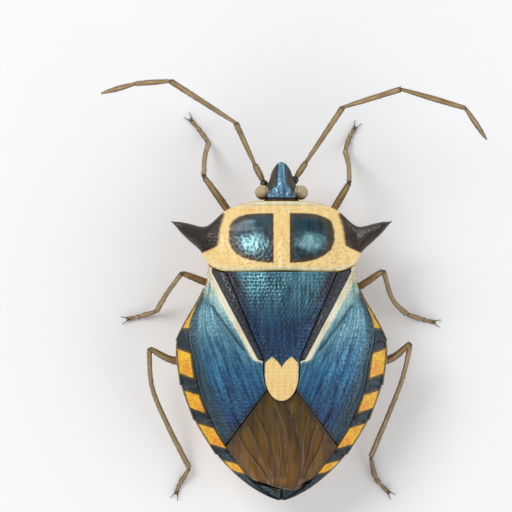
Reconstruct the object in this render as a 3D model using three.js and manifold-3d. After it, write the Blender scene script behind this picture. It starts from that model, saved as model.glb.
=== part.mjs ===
// A spine-shouldered shield bug, life size, standing still on the floor.
// Millimetres, +Z up. The head looks along -Y and the bug's left side is at +X.
// Stations along the body are measured from the head's apex towards the tail.
import * as THREE from 'three';
import { mergeVertices } from 'three/addons/utils/BufferGeometryUtils.js';
import Module from 'manifold-3d';

// Driving dimensions of the body, seen from above
const HEAD_LENGTH = 2.42;
const HEAD_HALF_WIDTH = 1.25;
const COLLAR_Y = 2.6;
const COLLAR_HALF_WIDTH = 2.9;
const PRONOTUM_REAR_Y = 7.05;
const SHOULDER_Y = 4.6;
const SHOULDER_HALF_WIDTH = 4.8;
const SPINE_REACH = 7.15;
const SCUTELLUM_HALF_WIDTH = 3.6;
const SCUTELLUM_WAIST_Y = 12.7;
const SCUTELLUM_WAIST = 1.15;
const SCUTELLUM_TIP_Y = 15.45;
const ABDOMEN_HALF_WIDTH = 6.88;
const WIDEST_Y = 12.2;
const TAIL_Y = 22.0;
const TAIL_POWER = 1.8;
const TAIL_SHARPNESS = 0.67;
const WAIST_NARROWING = 0.29;

// Roundness of the cross section: powers of the share across, larger is squarer
const DOME_POWER = 2.4;
const KEEL_POWER = 1.25;
const ROUND_BELLY_POWER = 1.6;

// Share of the trunk's half-width that the folded forewing covers, which narrows twice
const WING_SHARE = 0.97;
const WING_STEPS = [{ drop: 0.15, from: 9, to: 13.5 }, { drop: 0.05, from: 14, to: 20.5 }];

// Plate thicknesses and the clear suture between neighbouring plates
const PRONOTUM_THICKNESS = 1.05;
const SCUTELLUM_THICKNESS = 0.75;
const WING_THICKNESS = 0.55;
const RIM_THICKNESS = 0.5;
const SCUTELLUM_RISE = 0.12;
const SUTURE = 0.08;
const HINGE_GAP = 0.15;
const FLANK_DROP = 1.1;
const FLANK_INSET = 0.3;
const RIM_EDGE_THICKNESS = 0.35;

// Joins of the forewing: the edge along the clavus and the edge of the membrane
const CLAVUS_FRONT = { x: 4.5, y: 7.15 };
const CLAVUS_REAR = { x: 1.46, y: 12.85 };
const CORIUM_INNER_REAR = { x: 0.98, y: 14.75 };
const CORIUM_OUTER_REAR_Y = 18.4;
const MEMBRANE_REAR_Y = 21.35;
const MEMBRANE_CORNER_GAP = 0.13;
const OVERLAP_REACH = 1.35;
const OVERLAP_TURN = 2.4;
const CONNEXIVUM_FRONT_Y = 8.7;
const CONNEXIVUM_REAR_Y = 21.8;
const THORAX_REAR_Y = 11.92;

// Heights of the back, of the side edge and of the belly at stations along the body
const PROFILE = [
  { y: 2.6, back: 5.95, edge: 5.45, belly: 3.7 },
  { y: 4.6, back: 6.9, edge: 5.85, belly: 2.75 },
  { y: 7.0, back: 7.5, edge: 5.75, belly: 2.2 },
  { y: 11.5, back: 7.35, edge: 5.5, belly: 1.95 },
  { y: 15.5, back: 6.5, edge: 5.15, belly: 2.3 },
  { y: 19.0, back: 5.6, edge: 4.85, belly: 3.1 },
  { y: 22.0, back: 4.75, edge: 4.55, belly: 3.6 },
];
// Front and rear edges of the pronotum, out to the shoulder spine
const PRONOTUM_FRONT = [[0, 2.52], [1.9, 2.6], [3.55, 3.1], [4.85, 4.15], [6.0, 4.0], [7.15, 3.72]];
const PRONOTUM_REAR = [[0, 7.05], [3.7, 7.1], [4.8, 6.6], [5.2, 5.85], [6.0, 5.1], [7.15, 3.98]];
const SPINE_HEIGHT = 5.75;
const SPINE_RISE = 0.35;
const SPINE_HALF_THICKNESS = 0.55;
// Where the domed plate turns into the spine, and how the spine's section narrows
const SPINE_BLEND = { from: 4.1, to: 5.4 };
const SPINE_TAPER = { from: 4.8, share: 0.55 };
const SPINE_ROUNDNESS = 0.85;
const PRONOTUM_LIP = { drop: 0.25, power: 10 };
const SCUTELLUM_LIP = 0.2;
const NARROWEST = { scutellum: 0.12, rim: 0.1, trunk: 0.25 };
// The deck under the back plates rises behind the pronotum, where the plates are thinner
const DECK_STEP = { from: 0.85, to: 1.5 };
const TRUNK_END_GAP = 0.15;

// Heights of the head at its apex and at its widest, and how round its sides are
const CROWN = { apex: 4.72, rear: 5.72 };
const THROAT = { apex: 4.5, rear: 3.85 };
const CHEEK_RISE = 0.12;
const CHEEK_ROUNDNESS = 0.97;

// Eyes, antenna sockets and mouthparts
const SOCKET_RADIUS = 0.3;
const SOCKET_LENGTH = 0.45;
const SOCKET_ROOTS = { 1: [0.45, 1.75, 4.62], '-1': [0.4, 1.55, 4.58] };
const EYE_RADIUS = 0.5;
const EYE_CENTRE = { x: 1.24, y: 1.98, z: 5.12 };
const ROSTRUM_RADIUS = 0.27;

// Limbs: radii and the section's number of sides
const LIMB_SIDES = 8;
const COXA_RADIUS = 0.6;
const FEMUR_RADIUS = 0.33;
const TIBIA_RADIUS = 0.27;
const TARSUS_RADIUS = 0.29;
const ANTENNA_RADIUS = 0.26;
const END_RADIUS = { coxa: 0.35, femur: 0.24, tibia: 0.22, tarsus: 0.2 };
const HIP_REACH = { inner: 1.1, outer: 2.1, rise: 0.2 };
const SOLE_Z = 0;
const LIMB_GAP = 0.1;
const KNEE_GAP = 0.6;
const ANKLE_GAP = 0.16;

// Leg points from hip to claws, on the bug's own left (side 1) and right (side -1).
// Each foot stands apart, so the two sides differ.
const LEGS = {
  fore_leg_left: {
    side: 1, hipY: 4.9, hipZ: 2.35,
    femur: [[2.3, 4.85, 2.65], [3.5, 3.1, 3.5], [5.05, 0.93, 4.6]],
    tibia: [[5.05, 0.93, 4.6], [5.0, -0.4, 2.5], [4.78, -1.36, 0.55]],
    tarsus: [[4.78, -1.36, 0.42], [5.3, -2.1, 0.2], [6.2, -3.18, 0.19]],
  },
  fore_leg_right: {
    side: -1, hipY: 4.9, hipZ: 2.35,
    femur: [[2.3, 4.85, 2.65], [3.45, 3.0, 3.5], [4.4, 1.36, 4.6]],
    tibia: [[4.4, 1.36, 4.6], [4.42, 0.2, 2.5], [4.22, -0.84, 0.55]],
    tarsus: [[4.22, -0.84, 0.42], [4.5, -1.7, 0.2], [5.06, -2.7, 0.19]],
  },
  mid_leg_left: {
    side: 1, hipY: 8.5, hipZ: 1.8,
    femur: [[2.3, 8.5, 2.05], [4.4, 8.0, 3.2], [6.46, 7.2, 4.6]],
    tibia: [[6.46, 7.2, 4.6], [7.45, 8.5, 2.4], [8.21, 9.74, 0.55]],
    tarsus: [[8.21, 9.74, 0.42], [9.3, 10.08, 0.2], [10.48, 10.34, 0.19]],
  },
  mid_leg_right: {
    side: -1, hipY: 8.5, hipZ: 1.8,
    femur: [[2.3, 8.5, 2.05], [4.5, 8.35, 3.2], [6.62, 7.06, 4.6]],
    tibia: [[6.62, 7.06, 4.6], [7.3, 8.95, 2.4], [8.25, 9.92, 0.55]],
    tarsus: [[8.25, 9.92, 0.42], [9.3, 10.28, 0.2], [10.48, 10.55, 0.19]],
  },
  hind_leg_left: {
    side: 1, hipY: 11.0, hipZ: 1.45,
    femur: [[2.3, 11.2, 1.85], [3.8, 12.2, 2.25], [5.5, 12.95, 3.0], [7.1, 12.88, 3.65], [8.6, 12.1, 4.35]],
    tibia: [[8.6, 12.1, 4.35], [8.45, 14.6, 3.2], [7.5, 17.1, 1.9], [6.04, 20.1, 0.55]],
    tarsus: [[6.04, 20.1, 0.42], [6.72, 21.2, 0.2], [7.05, 22.1, 0.19]],
  },
  hind_leg_right: {
    side: -1, hipY: 11.0, hipZ: 1.45,
    femur: [[2.3, 11.2, 1.85], [3.8, 12.3, 2.25], [5.4, 13.0, 3.0], [7.1, 12.8, 3.7], [8.4, 11.75, 4.35]],
    tibia: [[8.45, 12.05, 4.35], [7.89, 14.15, 3.2], [6.91, 16.8, 1.9], [5.9, 19.36, 0.55]],
    tarsus: [[5.9, 19.36, 0.42], [6.28, 20.8, 0.2], [7.37, 22.0, 0.19]],
  },
};

// Antenna joints from the socket beside the head to the tip
const ANTENNAE = {
  antenna_left: {
    side: 1,
    joints: [[1.22, 1.18, 4.5], [1.75, 0.15, 4.95], [2.95, -2.46, 7.0],
      [7.14, -5.12, 8.2], [9.4, -5.0, 7.1], [11.65, -4.45, 5.4]],
  },
  antenna_right: {
    side: -1,
    joints: [[0.98, 0.95, 4.5], [1.6, 0.0, 4.95], [3.95, -3.5, 6.5],
      [7.65, -4.6, 8.2], [11.8, -3.4, 7.7], [13.2, -1.45, 6.6]],
  },
};

const SHELL = { roughness: 0.35, metalness: 0.4 };
const COLOURS = {
  metallic: 0x24506b,
  orange: 0xf3cf85,
  navy: 0x1b2a3a,
  bronze: 0x5a4316,
  amber: 0xe0a51c,
  limb: 0x7a5a2a,
  eye: 0xb5a481,
};

const clamp01 = (t) => Math.min(Math.max(t, 0), 1);
const mix = (a, b, t) => a + (b - a) * t;
const smooth = (low, high, y) => {
  const t = clamp01((y - low) / (high - low));
  return t * t * (3 - 2 * t);
};

// A smooth curve through stations given as [position, value], held level past both ends
function through(stations, position) {
  const last = stations.length - 1;
  const at = Math.min(Math.max(position, stations[0][0]), stations[last][0]);
  let i = 0;
  while (i < last - 1 && at > stations[i + 1][0]) {
    i += 1;
  }
  const slope = (k) => {
    const a = stations[Math.max(k - 1, 0)];
    const b = stations[Math.min(k + 1, last)];
    return (b[1] - a[1]) / (b[0] - a[0]);
  };
  const [x0, y0] = stations[i];
  const [x1, y1] = stations[i + 1];
  const span = x1 - x0;
  const t = (at - x0) / span;
  const tangents = (t * (1 - t) ** 2) * slope(i) * span - (t * t * (1 - t)) * slope(i + 1) * span;
  return y0 * (1 + 2 * t) * (1 - t) ** 2 + y1 * t * t * (3 - 2 * t) + tangents;
}

const backStations = PROFILE.map((s) => [s.y, s.back]);
const edgeStations = PROFILE.map((s) => [s.y, s.edge]);
const bellyStations = PROFILE.map((s) => [s.y, s.belly]);

// Half-width of the trunk without the shoulder spines
function trunkHalfWidth(y) {
  if (y < SHOULDER_Y) {
    const t = clamp01((y - COLLAR_Y) / (SHOULDER_Y - COLLAR_Y));
    return mix(COLLAR_HALF_WIDTH, SHOULDER_HALF_WIDTH, t);
  }
  if (y < WIDEST_Y) {
    const t = clamp01((WIDEST_Y - y) / (WIDEST_Y - PRONOTUM_REAR_Y));
    return ABDOMEN_HALF_WIDTH * (1 - WAIST_NARROWING * Math.sin((t * Math.PI) / 2) ** 2);
  }
  const t = clamp01((y - WIDEST_Y) / (TAIL_Y - WIDEST_Y));
  return ABDOMEN_HALF_WIDTH * (1 - t ** TAIL_POWER) ** TAIL_SHARPNESS;
}

// How far out a place lies, from 0 at the midline to 1 at the side edge
const shareAcross = (x, y) => clamp01(Math.abs(x) / Math.max(trunkHalfWidth(y), 0.3));

// Height of the back at any place, domed across and level at the side edge
function backZ(x, y) {
  const edge = through(edgeStations, y);
  return edge + (through(backStations, y) - edge) * (1 - shareAcross(x, y) ** DOME_POWER);
}

// Height of the underside, keeled along the middle of the thorax and rounder behind
function bellyZ(x, y) {
  const flank = through(edgeStations, y) - FLANK_DROP;
  const roundness = mix(KEEL_POWER, ROUND_BELLY_POWER, smooth(8, 12, y));
  return flank - (flank - through(bellyStations, y)) * (1 - shareAcross(x, y) ** roundness);
}

// Outer edge of the folded forewing, which leaves the connexivum bare beside it
function wingHalfWidth(y) {
  const narrowed = WING_STEPS.reduce((sum, { drop, from, to }) => sum + drop * smooth(from, to, y), 0);
  return trunkHalfWidth(y) * (WING_SHARE - narrowed);
}

function scutellumHalfWidth(y) {
  if (y < SCUTELLUM_WAIST_Y) {
    const t = (y - PRONOTUM_REAR_Y) / (SCUTELLUM_WAIST_Y - PRONOTUM_REAR_Y);
    return mix(SCUTELLUM_HALF_WIDTH, SCUTELLUM_WAIST, t);
  }
  const t = clamp01((y - SCUTELLUM_WAIST_Y) / (SCUTELLUM_TIP_Y - SCUTELLUM_WAIST_Y));
  return SCUTELLUM_WAIST * Math.sqrt(1 - t ** 3);
}

// Edge between clavus and corium, then on along the scutellum's tongue
function coriumInner(y) {
  if (y < CLAVUS_REAR.y) {
    return mix(CLAVUS_FRONT.x, CLAVUS_REAR.x, (y - CLAVUS_FRONT.y) / (CLAVUS_REAR.y - CLAVUS_FRONT.y));
  }
  return mix(CLAVUS_REAR.x, CORIUM_INNER_REAR.x, (y - CLAVUS_REAR.y) / (CORIUM_INNER_REAR.y - CLAVUS_REAR.y));
}

// The visible edge of the upper membrane, which crosses the midline behind the scutellum
function overlapX(y) {
  const t = clamp01((y - SCUTELLUM_TIP_Y) / (MEMBRANE_REAR_Y - SCUTELLUM_TIP_Y));
  return -OVERLAP_REACH * Math.sin(t * OVERLAP_TURN);
}

// Vertices that lie together become one, so that the mesh is closed
function welded(geometry) {
  geometry.deleteAttribute('normal');
  geometry.deleteAttribute('uv');
  return mergeVertices(geometry, 1e-5);
}

// A plate over the plan place(u, v) -> [x, y], between the heights under and over
function plate(columns, rows, place, over, under) {
  const geometry = welded(new THREE.BoxGeometry(1, 1, 1, columns, rows, 1));
  const vertices = geometry.attributes.position;
  for (let i = 0; i < vertices.count; i += 1) {
    const u = vertices.getX(i) + 0.5;
    const v = vertices.getY(i) + 0.5;
    const [x, y] = place(u, v);
    const height = vertices.getZ(i) > 0 ? over(x, y, u, v) : under(x, y, u, v);
    vertices.setXYZ(i, x, y, height);
  }
  return geometry;
}

// The same plan on the bug's right side, with u still growing towards +X
const mirrored = (place) => (u, v) => {
  const [x, y] = place(1 - u, v);
  return [-x, y];
};

// How far a plate's upper face bends down at its rim
const rimDrop = (depth, u, v) => depth * Math.max(Math.abs(2 * u - 1), Math.abs(2 * v - 1)) ** 10;

// A limb segment: a round section carried along a smooth curve through the points
function limb(points, side, radiusAt, steps) {
  const places = points.map(([x, y, z]) => new THREE.Vector3(side * x, y, z));
  const curve = new THREE.CatmullRomCurve3(places, false, 'centripetal');
  const geometry = welded(new THREE.CylinderGeometry(1, 1, 1, LIMB_SIDES, steps, false, Math.PI / LIMB_SIDES));
  const vertices = geometry.attributes.position;
  const up = new THREE.Vector3(0, 0, 1);
  for (let i = 0; i < vertices.count; i += 1) {
    const t = vertices.getY(i) + 0.5;
    const centre = curve.getPoint(t);
    const along = curve.getTangent(t);
    const across = along.clone().cross(up).normalize();
    const above = across.clone().cross(along);
    const radius = radiusAt(t);
    centre.addScaledVector(across, vertices.getX(i) * radius);
    centre.addScaledVector(above, vertices.getZ(i) * radius);
    vertices.setXYZ(i, centre.x, centre.y, Math.max(centre.z, SOLE_Z));
  }
  return geometry;
}

// Radius that swells from both ends of a segment to its middle
const swelling = (ends, middle) => (t) => mix(ends, middle, Math.sin(Math.PI * t) ** 0.5);

// Points of a segment with its ends drawn back by the gaps of its two joints
function drawnBack(points, firstGap, lastGap) {
  const inner = points.map((p) => new THREE.Vector3(...p));
  const last = inner.length - 1;
  const first = inner[0].clone();
  const end = inner[last].clone();
  inner[0].addScaledVector(inner[1].clone().sub(first).normalize(), firstGap);
  inner[last].addScaledVector(inner[last - 1].clone().sub(end).normalize(), lastGap);
  return inner.map((p) => p.toArray());
}

const bug = new THREE.Group();

function add(name, geometry, colour, finish = SHELL) {
  const mesh = new THREE.Mesh(geometry, new THREE.MeshStandardMaterial({ color: colour, ...finish }));
  mesh.name = name;
  bug.add(mesh);
}

// Head, with a socket cut round each eye
const wasm = await Module();
wasm.setup();

function toManifold(geometry) {
  return new wasm.Manifold(new wasm.Mesh({
    numProp: 3,
    vertProperties: new Float32Array(geometry.attributes.position.array),
    triVerts: new Uint32Array(geometry.index.array),
  }));
}

function toGeometry(solid) {
  const mesh = solid.getMesh();
  const geometry = new THREE.BufferGeometry();
  geometry.setAttribute('position', new THREE.BufferAttribute(mesh.vertProperties, 3));
  geometry.setIndex(new THREE.BufferAttribute(mesh.triVerts, 1));
  return geometry;
}

function eyeball(radius, side) {
  const ball = welded(new THREE.SphereGeometry(radius, 14, 10));
  ball.translate(side * EYE_CENTRE.x, EYE_CENTRE.y, EYE_CENTRE.z);
  return ball;
}

// The short stub on the head's side that carries an antenna, in line with its first segment
function antennaSocket(side, joints) {
  const end = new THREE.Vector3(...joints[0]);
  const along = new THREE.Vector3(...joints[1]).sub(end).normalize();
  const middle = end.clone().addScaledVector(along, -SOCKET_LENGTH);
  const points = [SOCKET_ROOTS[side], middle.toArray(), end.toArray()];
  return limb(points, side, (t) => mix(SOCKET_RADIUS, 0.8 * SOCKET_RADIUS, t), 4);
}

function addHead() {
  const halfWidth = (y) => HEAD_HALF_WIDTH * Math.max(y / HEAD_LENGTH, 0.02) ** 0.5;
  const place = (u, v) => {
    const y = HEAD_LENGTH * v ** 1.4;
    return [(2 * u - 1) * halfWidth(y), y];
  };
  const swell = (y) => Math.sin((clamp01(y / HEAD_LENGTH) * Math.PI) / 2);
  const crown = (y) => mix(CROWN.apex, CROWN.rear, swell(y));
  const throat = (y) => mix(THROAT.apex, THROAT.rear, swell(y));
  const cheek = (y) => (crown(y) + throat(y)) / 2 + CHEEK_RISE;
  const bulge = (u) => Math.sqrt(1 - (CHEEK_ROUNDNESS * (2 * u - 1)) ** 2);
  const over = (x, y, u) => mix(cheek(y) + 0.02, crown(y), bulge(u));
  const under = (x, y, u) => mix(cheek(y) - 0.02, throat(y), bulge(u));
  let head = toManifold(plate(10, 8, place, over, under));
  for (const { side, joints } of Object.values(ANTENNAE)) {
    head = head.add(toManifold(antennaSocket(side, joints)));
  }
  for (const side of [1, -1]) {
    head = head.subtract(toManifold(eyeball(EYE_RADIUS + SUTURE, side)));
    add(side > 0 ? 'eye_left' : 'eye_right', eyeball(EYE_RADIUS, side), COLOURS.eye, { roughness: 0.2 });
  }
  add('head', toGeometry(head), COLOURS.metallic);
}

// The jointed beak, folded back under the head and between the fore legs
function addRostrum() {
  const points = [[0, 0.55, 3.95], [0, 1.6, 3.42], [0, 3.2, 3.0], [0, 4.9, 2.25], [0, 6.9, 1.8]];
  add('rostrum', limb(points, 1, (t) => ROSTRUM_RADIUS * mix(1, 0.85, t), 10), COLOURS.limb);
}

// Pronotum: the front back plate with its two shoulder spines
function addPronotum() {
  const place = (u, v) => {
    const x = (2 * u - 1) * SPINE_REACH;
    return [x, mix(through(PRONOTUM_FRONT, Math.abs(x)), through(PRONOTUM_REAR, Math.abs(x)), v)];
  };
  const outward = (x) => smooth(SPINE_TAPER.from, SPINE_REACH, Math.abs(x));
  const taper = (x) => SPINE_HALF_THICKNESS * (1 - SPINE_TAPER.share * outward(x));
  const middle = (x) => SPINE_HEIGHT + SPINE_RISE * outward(x);
  const bulge = (v) => Math.sqrt(1 - (SPINE_ROUNDNESS * (2 * v - 1)) ** 2);
  const spine = (x) => smooth(SPINE_BLEND.from, SPINE_BLEND.to, Math.abs(x));
  const over = (x, y, u, v) => {
    const dome = backZ(x, y) - PRONOTUM_LIP.drop * Math.abs(2 * v - 1) ** PRONOTUM_LIP.power;
    return mix(dome, middle(x) + taper(x) * bulge(v), spine(x));
  };
  const under = (x, y, u, v) => {
    return mix(backZ(x, y) - PRONOTUM_THICKNESS, middle(x) - taper(x) * bulge(v), spine(x));
  };
  add('pronotum', plate(24, 7, place, over, under), COLOURS.orange);
}

// Scutellum: the long shield from the pronotum to the middle of the back
function addScutellum() {
  const place = (u, v) => {
    const y = mix(PRONOTUM_REAR_Y + HINGE_GAP, SCUTELLUM_TIP_Y - 0.02, v);
    return [(2 * u - 1) * Math.max(scutellumHalfWidth(y), NARROWEST.scutellum), y];
  };
  const over = (x, y, u, v) => backZ(x, y) + SCUTELLUM_RISE - rimDrop(SCUTELLUM_LIP, u, v);
  const under = (x, y) => backZ(x, y) - SCUTELLUM_THICKNESS;
  add('scutellum', plate(8, 12, place, over, under), COLOURS.navy);
}

// One folded forewing in three plates, for the left side at +X
const clavusPlace = (u, v) => {
  const y = mix(PRONOTUM_REAR_Y + HINGE_GAP, CLAVUS_REAR.y - 0.1, v);
  return [mix(scutellumHalfWidth(y) + SUTURE, coriumInner(y) - SUTURE, u), y];
};
const coriumPlace = (u, v) => {
  const innerY = mix(CLAVUS_FRONT.y + 0.05, CORIUM_INNER_REAR.y, v);
  const outerY = mix(CLAVUS_FRONT.y + 0.05, CORIUM_OUTER_REAR_Y, v);
  const inner = Math.max(coriumInner(innerY), scutellumHalfWidth(innerY) + SUTURE);
  return [mix(inner, wingHalfWidth(outerY), u), mix(innerY, outerY, u)];
};
// Front edge of a membrane: round the scutellum's tip, then out along the corium's rear edge
function membraneFront(x) {
  const corner = CORIUM_INNER_REAR;
  if (x < corner.x) {
    const rise = corner.y + HINGE_GAP - SCUTELLUM_TIP_Y;
    return SCUTELLUM_TIP_Y + SUTURE + rise * (x / corner.x) ** 1.6;
  }
  const slope = (CORIUM_OUTER_REAR_Y - corner.y) / (wingHalfWidth(CORIUM_OUTER_REAR_Y) - corner.x);
  return corner.y + MEMBRANE_CORNER_GAP + slope * (x - corner.x);
}

// A membrane between its inner edge and the wing's outer edge
function membranePlace(innerX) {
  return (u, v) => {
    const seamY = mix(SCUTELLUM_TIP_Y + SUTURE, MEMBRANE_REAR_Y, v);
    const outerFrontY = CORIUM_OUTER_REAR_Y + MEMBRANE_CORNER_GAP;
    const outerY = mix(outerFrontY, MEMBRANE_REAR_Y - 0.2, v);
    const x = mix(innerX(seamY), wingHalfWidth(outerY), u);
    const straight = mix(SCUTELLUM_TIP_Y + SUTURE, outerFrontY, u);
    const frontX = u * wingHalfWidth(CORIUM_OUTER_REAR_Y);
    const bulge = straight - membraneFront(frontX);
    return [x, mix(seamY, outerY, u) - bulge * (1 - v)];
  };
}

function addWings() {
  const over = (x, y, u, v) => backZ(x, y) - rimDrop(0.12, u, v);
  const under = (x, y) => backZ(x, y) - WING_THICKNESS;
  const left = {
    clavus: [clavusPlace, 3, 8, COLOURS.navy],
    corium: [coriumPlace, 5, 12, COLOURS.metallic],
    membrane: [membranePlace((y) => overlapX(y) + SUTURE), 6, 7, COLOURS.bronze],
  };
  const right = {
    clavus: left.clavus,
    corium: left.corium,
    membrane: [membranePlace((y) => -overlapX(y)), 6, 7, COLOURS.bronze],
  };
  for (const [name, [place, columns, rows, colour]] of Object.entries(left)) {
    add(`${name}_left`, plate(columns, rows, place, over, under), colour);
  }
  for (const [name, [place, columns, rows, colour]] of Object.entries(right)) {
    add(`${name}_right`, plate(columns, rows, mirrored(place), over, under), colour);
  }
}

// Connexivum: the abdomen's flat side rim, bare beside the wings
function addConnexivum() {
  const place = (u, v) => {
    const y = mix(CONNEXIVUM_FRONT_Y, CONNEXIVUM_REAR_Y, v);
    const outer = trunkHalfWidth(y);
    return [mix(Math.min(wingHalfWidth(y) + SUTURE, outer - NARROWEST.rim), outer, u), y];
  };
  const over = (x, y) => backZ(x, y);
  const under = (x, y, u) => backZ(x, y) - mix(RIM_THICKNESS, RIM_EDGE_THICKNESS, u);
  add('connexivum_left', plate(2, 18, place, over, under), COLOURS.amber);
  add('connexivum_right', plate(2, 18, mirrored(place), over, under), COLOURS.amber);
}

// Trunk under the plates: thorax in front, abdomen behind
function addTrunk() {
  const inset = (y) => trunkHalfWidth(y) - FLANK_INSET;
  const shelf = (y) => smooth(PRONOTUM_REAR_Y + DECK_STEP.from, PRONOTUM_REAR_Y + DECK_STEP.to, y);
  const cover = (y) => mix(PRONOTUM_THICKNESS, SCUTELLUM_THICKNESS, shelf(y)) + SUTURE;
  const over = (x, y) => backZ(x, y) - cover(y);
  const block = (front, rear) => (u, v) => {
    const y = mix(front, rear, v);
    return [(2 * u - 1) * Math.max(inset(y), NARROWEST.trunk), y];
  };
  const thorax = block(COLLAR_Y + TRUNK_END_GAP, THORAX_REAR_Y);
  add('thorax', plate(12, 9, thorax, over, bellyZ), COLOURS.navy);
  const abdomen = block(THORAX_REAR_Y + SUTURE, TAIL_Y - TRUNK_END_GAP);
  add('abdomen', plate(12, 10, abdomen, over, bellyZ), COLOURS.amber);
}

// Legs: coxa under the thorax, then femur, tibia and a tarsus lying flat on the floor
function addLegs() {
  const finish = { roughness: 0.5 };
  for (const [name, leg] of Object.entries(LEGS)) {
    const { side, hipY, hipZ } = leg;
    const station = (t) => [mix(HIP_REACH.inner, HIP_REACH.outer, t), hipY, hipZ + HIP_REACH.rise * t];
    const coxa = [0, 0.5, 1].map(station);
    add(`${name}_coxa`, limb(coxa, side, swelling(END_RADIUS.coxa, COXA_RADIUS), 5), COLOURS.limb, finish);
    const femur = drawnBack(leg.femur, LIMB_GAP, LIMB_GAP);
    add(`${name}_femur`, limb(femur, side, swelling(END_RADIUS.femur, FEMUR_RADIUS), 7), COLOURS.limb, finish);
    const tibia = drawnBack(leg.tibia, KNEE_GAP, ANKLE_GAP);
    add(`${name}_tibia`, limb(tibia, side, swelling(END_RADIUS.tibia, TIBIA_RADIUS), 7), COLOURS.limb, finish);
    const tarsus = drawnBack(leg.tarsus, ANKLE_GAP, 0);
    add(`${name}_tarsus`, limb(tarsus, side, swelling(END_RADIUS.tarsus, TARSUS_RADIUS), 7), COLOURS.limb, finish);
  }
}

// Antennae: five segments each, joined end to end
function addAntennae() {
  for (const [name, { side, joints }] of Object.entries(ANTENNAE)) {
    for (let i = 0; i + 1 < joints.length; i += 1) {
      const ends = drawnBack([joints[i], joints[i + 1]], LIMB_GAP, LIMB_GAP);
      const middle = ends[0].map((c, k) => (c + ends[1][k]) / 2);
      const points = [ends[0], middle, ends[1]];
      const segment = limb(points, side, swelling(0.2, ANTENNA_RADIUS), 4);
      add(`${name}_${i + 1}`, segment, COLOURS.limb, { roughness: 0.5 });
    }
  }
}

addHead();
addRostrum();
addPronotum();
addScutellum();
addWings();
addConnexivum();
addTrunk();
addLegs();
addAntennae();

// The origin is under the middle of the whole outline, at the soles' level
const outline = new THREE.Box3().setFromObject(bug);
const middle = outline.getCenter(new THREE.Vector3());
for (const mesh of bug.children) {
  mesh.position.set(-middle.x, -middle.y, -outline.min.z);
}

export default bug;
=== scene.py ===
"""A spine-shouldered shield bug, life size: its looks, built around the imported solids.

Shapes are worked out in body millimetres: X is positive on the bug's left, Y runs from the
head's apex (0) to the tail (22), and Z is the height above the floor. Each piece is turned
into metres of the frame when its mesh is made.
"""
import sys
import logging
import math
from dataclasses import dataclass, field
from enum import Enum
from typing import Callable

import bpy
import numpy as np
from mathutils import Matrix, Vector


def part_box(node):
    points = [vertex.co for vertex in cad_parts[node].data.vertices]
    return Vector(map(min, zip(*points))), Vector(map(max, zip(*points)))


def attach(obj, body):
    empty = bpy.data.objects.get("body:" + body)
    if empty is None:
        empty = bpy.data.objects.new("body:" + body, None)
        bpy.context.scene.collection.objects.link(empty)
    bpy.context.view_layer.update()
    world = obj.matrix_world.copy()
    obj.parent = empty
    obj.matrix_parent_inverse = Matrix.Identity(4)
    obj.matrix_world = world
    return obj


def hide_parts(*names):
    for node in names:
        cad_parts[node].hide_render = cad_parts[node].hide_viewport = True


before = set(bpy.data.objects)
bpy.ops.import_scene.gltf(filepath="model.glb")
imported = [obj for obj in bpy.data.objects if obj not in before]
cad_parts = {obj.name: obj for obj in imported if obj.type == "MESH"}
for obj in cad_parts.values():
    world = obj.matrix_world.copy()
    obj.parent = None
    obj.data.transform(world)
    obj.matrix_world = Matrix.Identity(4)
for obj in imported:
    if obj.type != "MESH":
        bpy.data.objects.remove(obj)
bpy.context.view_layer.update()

LOG = logging.getLogger("shield_bug")
MM = 0.001
THINNEST = 0.04
OFF_MARK = -0.4
STIR = (12.9898, 78.233, 37.719, 43758.5453)
Array = np.ndarray
Marks = dict[str, Array]


class Side(Enum):
    """The bug's own left and right, as the sign of X."""

    LEFT = 1
    RIGHT = -1

    @property
    def label(self) -> str:
        """The word that ends a node's name."""
        return self.name.lower()


# Curves and measures

def smooth(low: float, high: float, value: Array) -> Array:
    """Ease from 0 at low to 1 at high."""
    t = np.clip((np.asarray(value, float) - low) / (high - low), 0, 1)
    return t * t * (3 - 2 * t)


def mix(a: Array, b: Array, t: Array) -> Array:
    """Blend from a at 0 to b at 1."""
    return a + (b - a) * t


def bump(value: Array, centre: float, width: float) -> Array:
    """A soft bell of height 1 about centre."""
    return np.exp(-(((np.asarray(value, float) - centre) / width) ** 2))


def through(stations: list, at: Array) -> Array:
    """Follow a smooth curve through stations, held level past both ends.

    Args:
        stations: pairs of position and value, in rising order.
        at: positions to read.

    Returns:
        The value at each position.
    """
    xs, ys = np.array(stations, float).T
    last = len(xs) - 1
    before = np.maximum(np.arange(last + 1) - 1, 0)
    after = np.minimum(np.arange(last + 1) + 1, last)
    slopes = (ys[after] - ys[before]) / (xs[after] - xs[before])
    at = np.clip(np.asarray(at, float), xs[0], xs[-1])
    i = np.clip(np.searchsorted(xs, at, side="right") - 1, 0, last - 1)
    span = xs[i + 1] - xs[i]
    t = (at - xs[i]) / span
    bent = t * (1 - t) ** 2 * slopes[i] * span - t * t * (1 - t) * slopes[i + 1] * span
    return ys[i] * (1 + 2 * t) * (1 - t) ** 2 + ys[i + 1] * t * t * (3 - 2 * t) + bent


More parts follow.
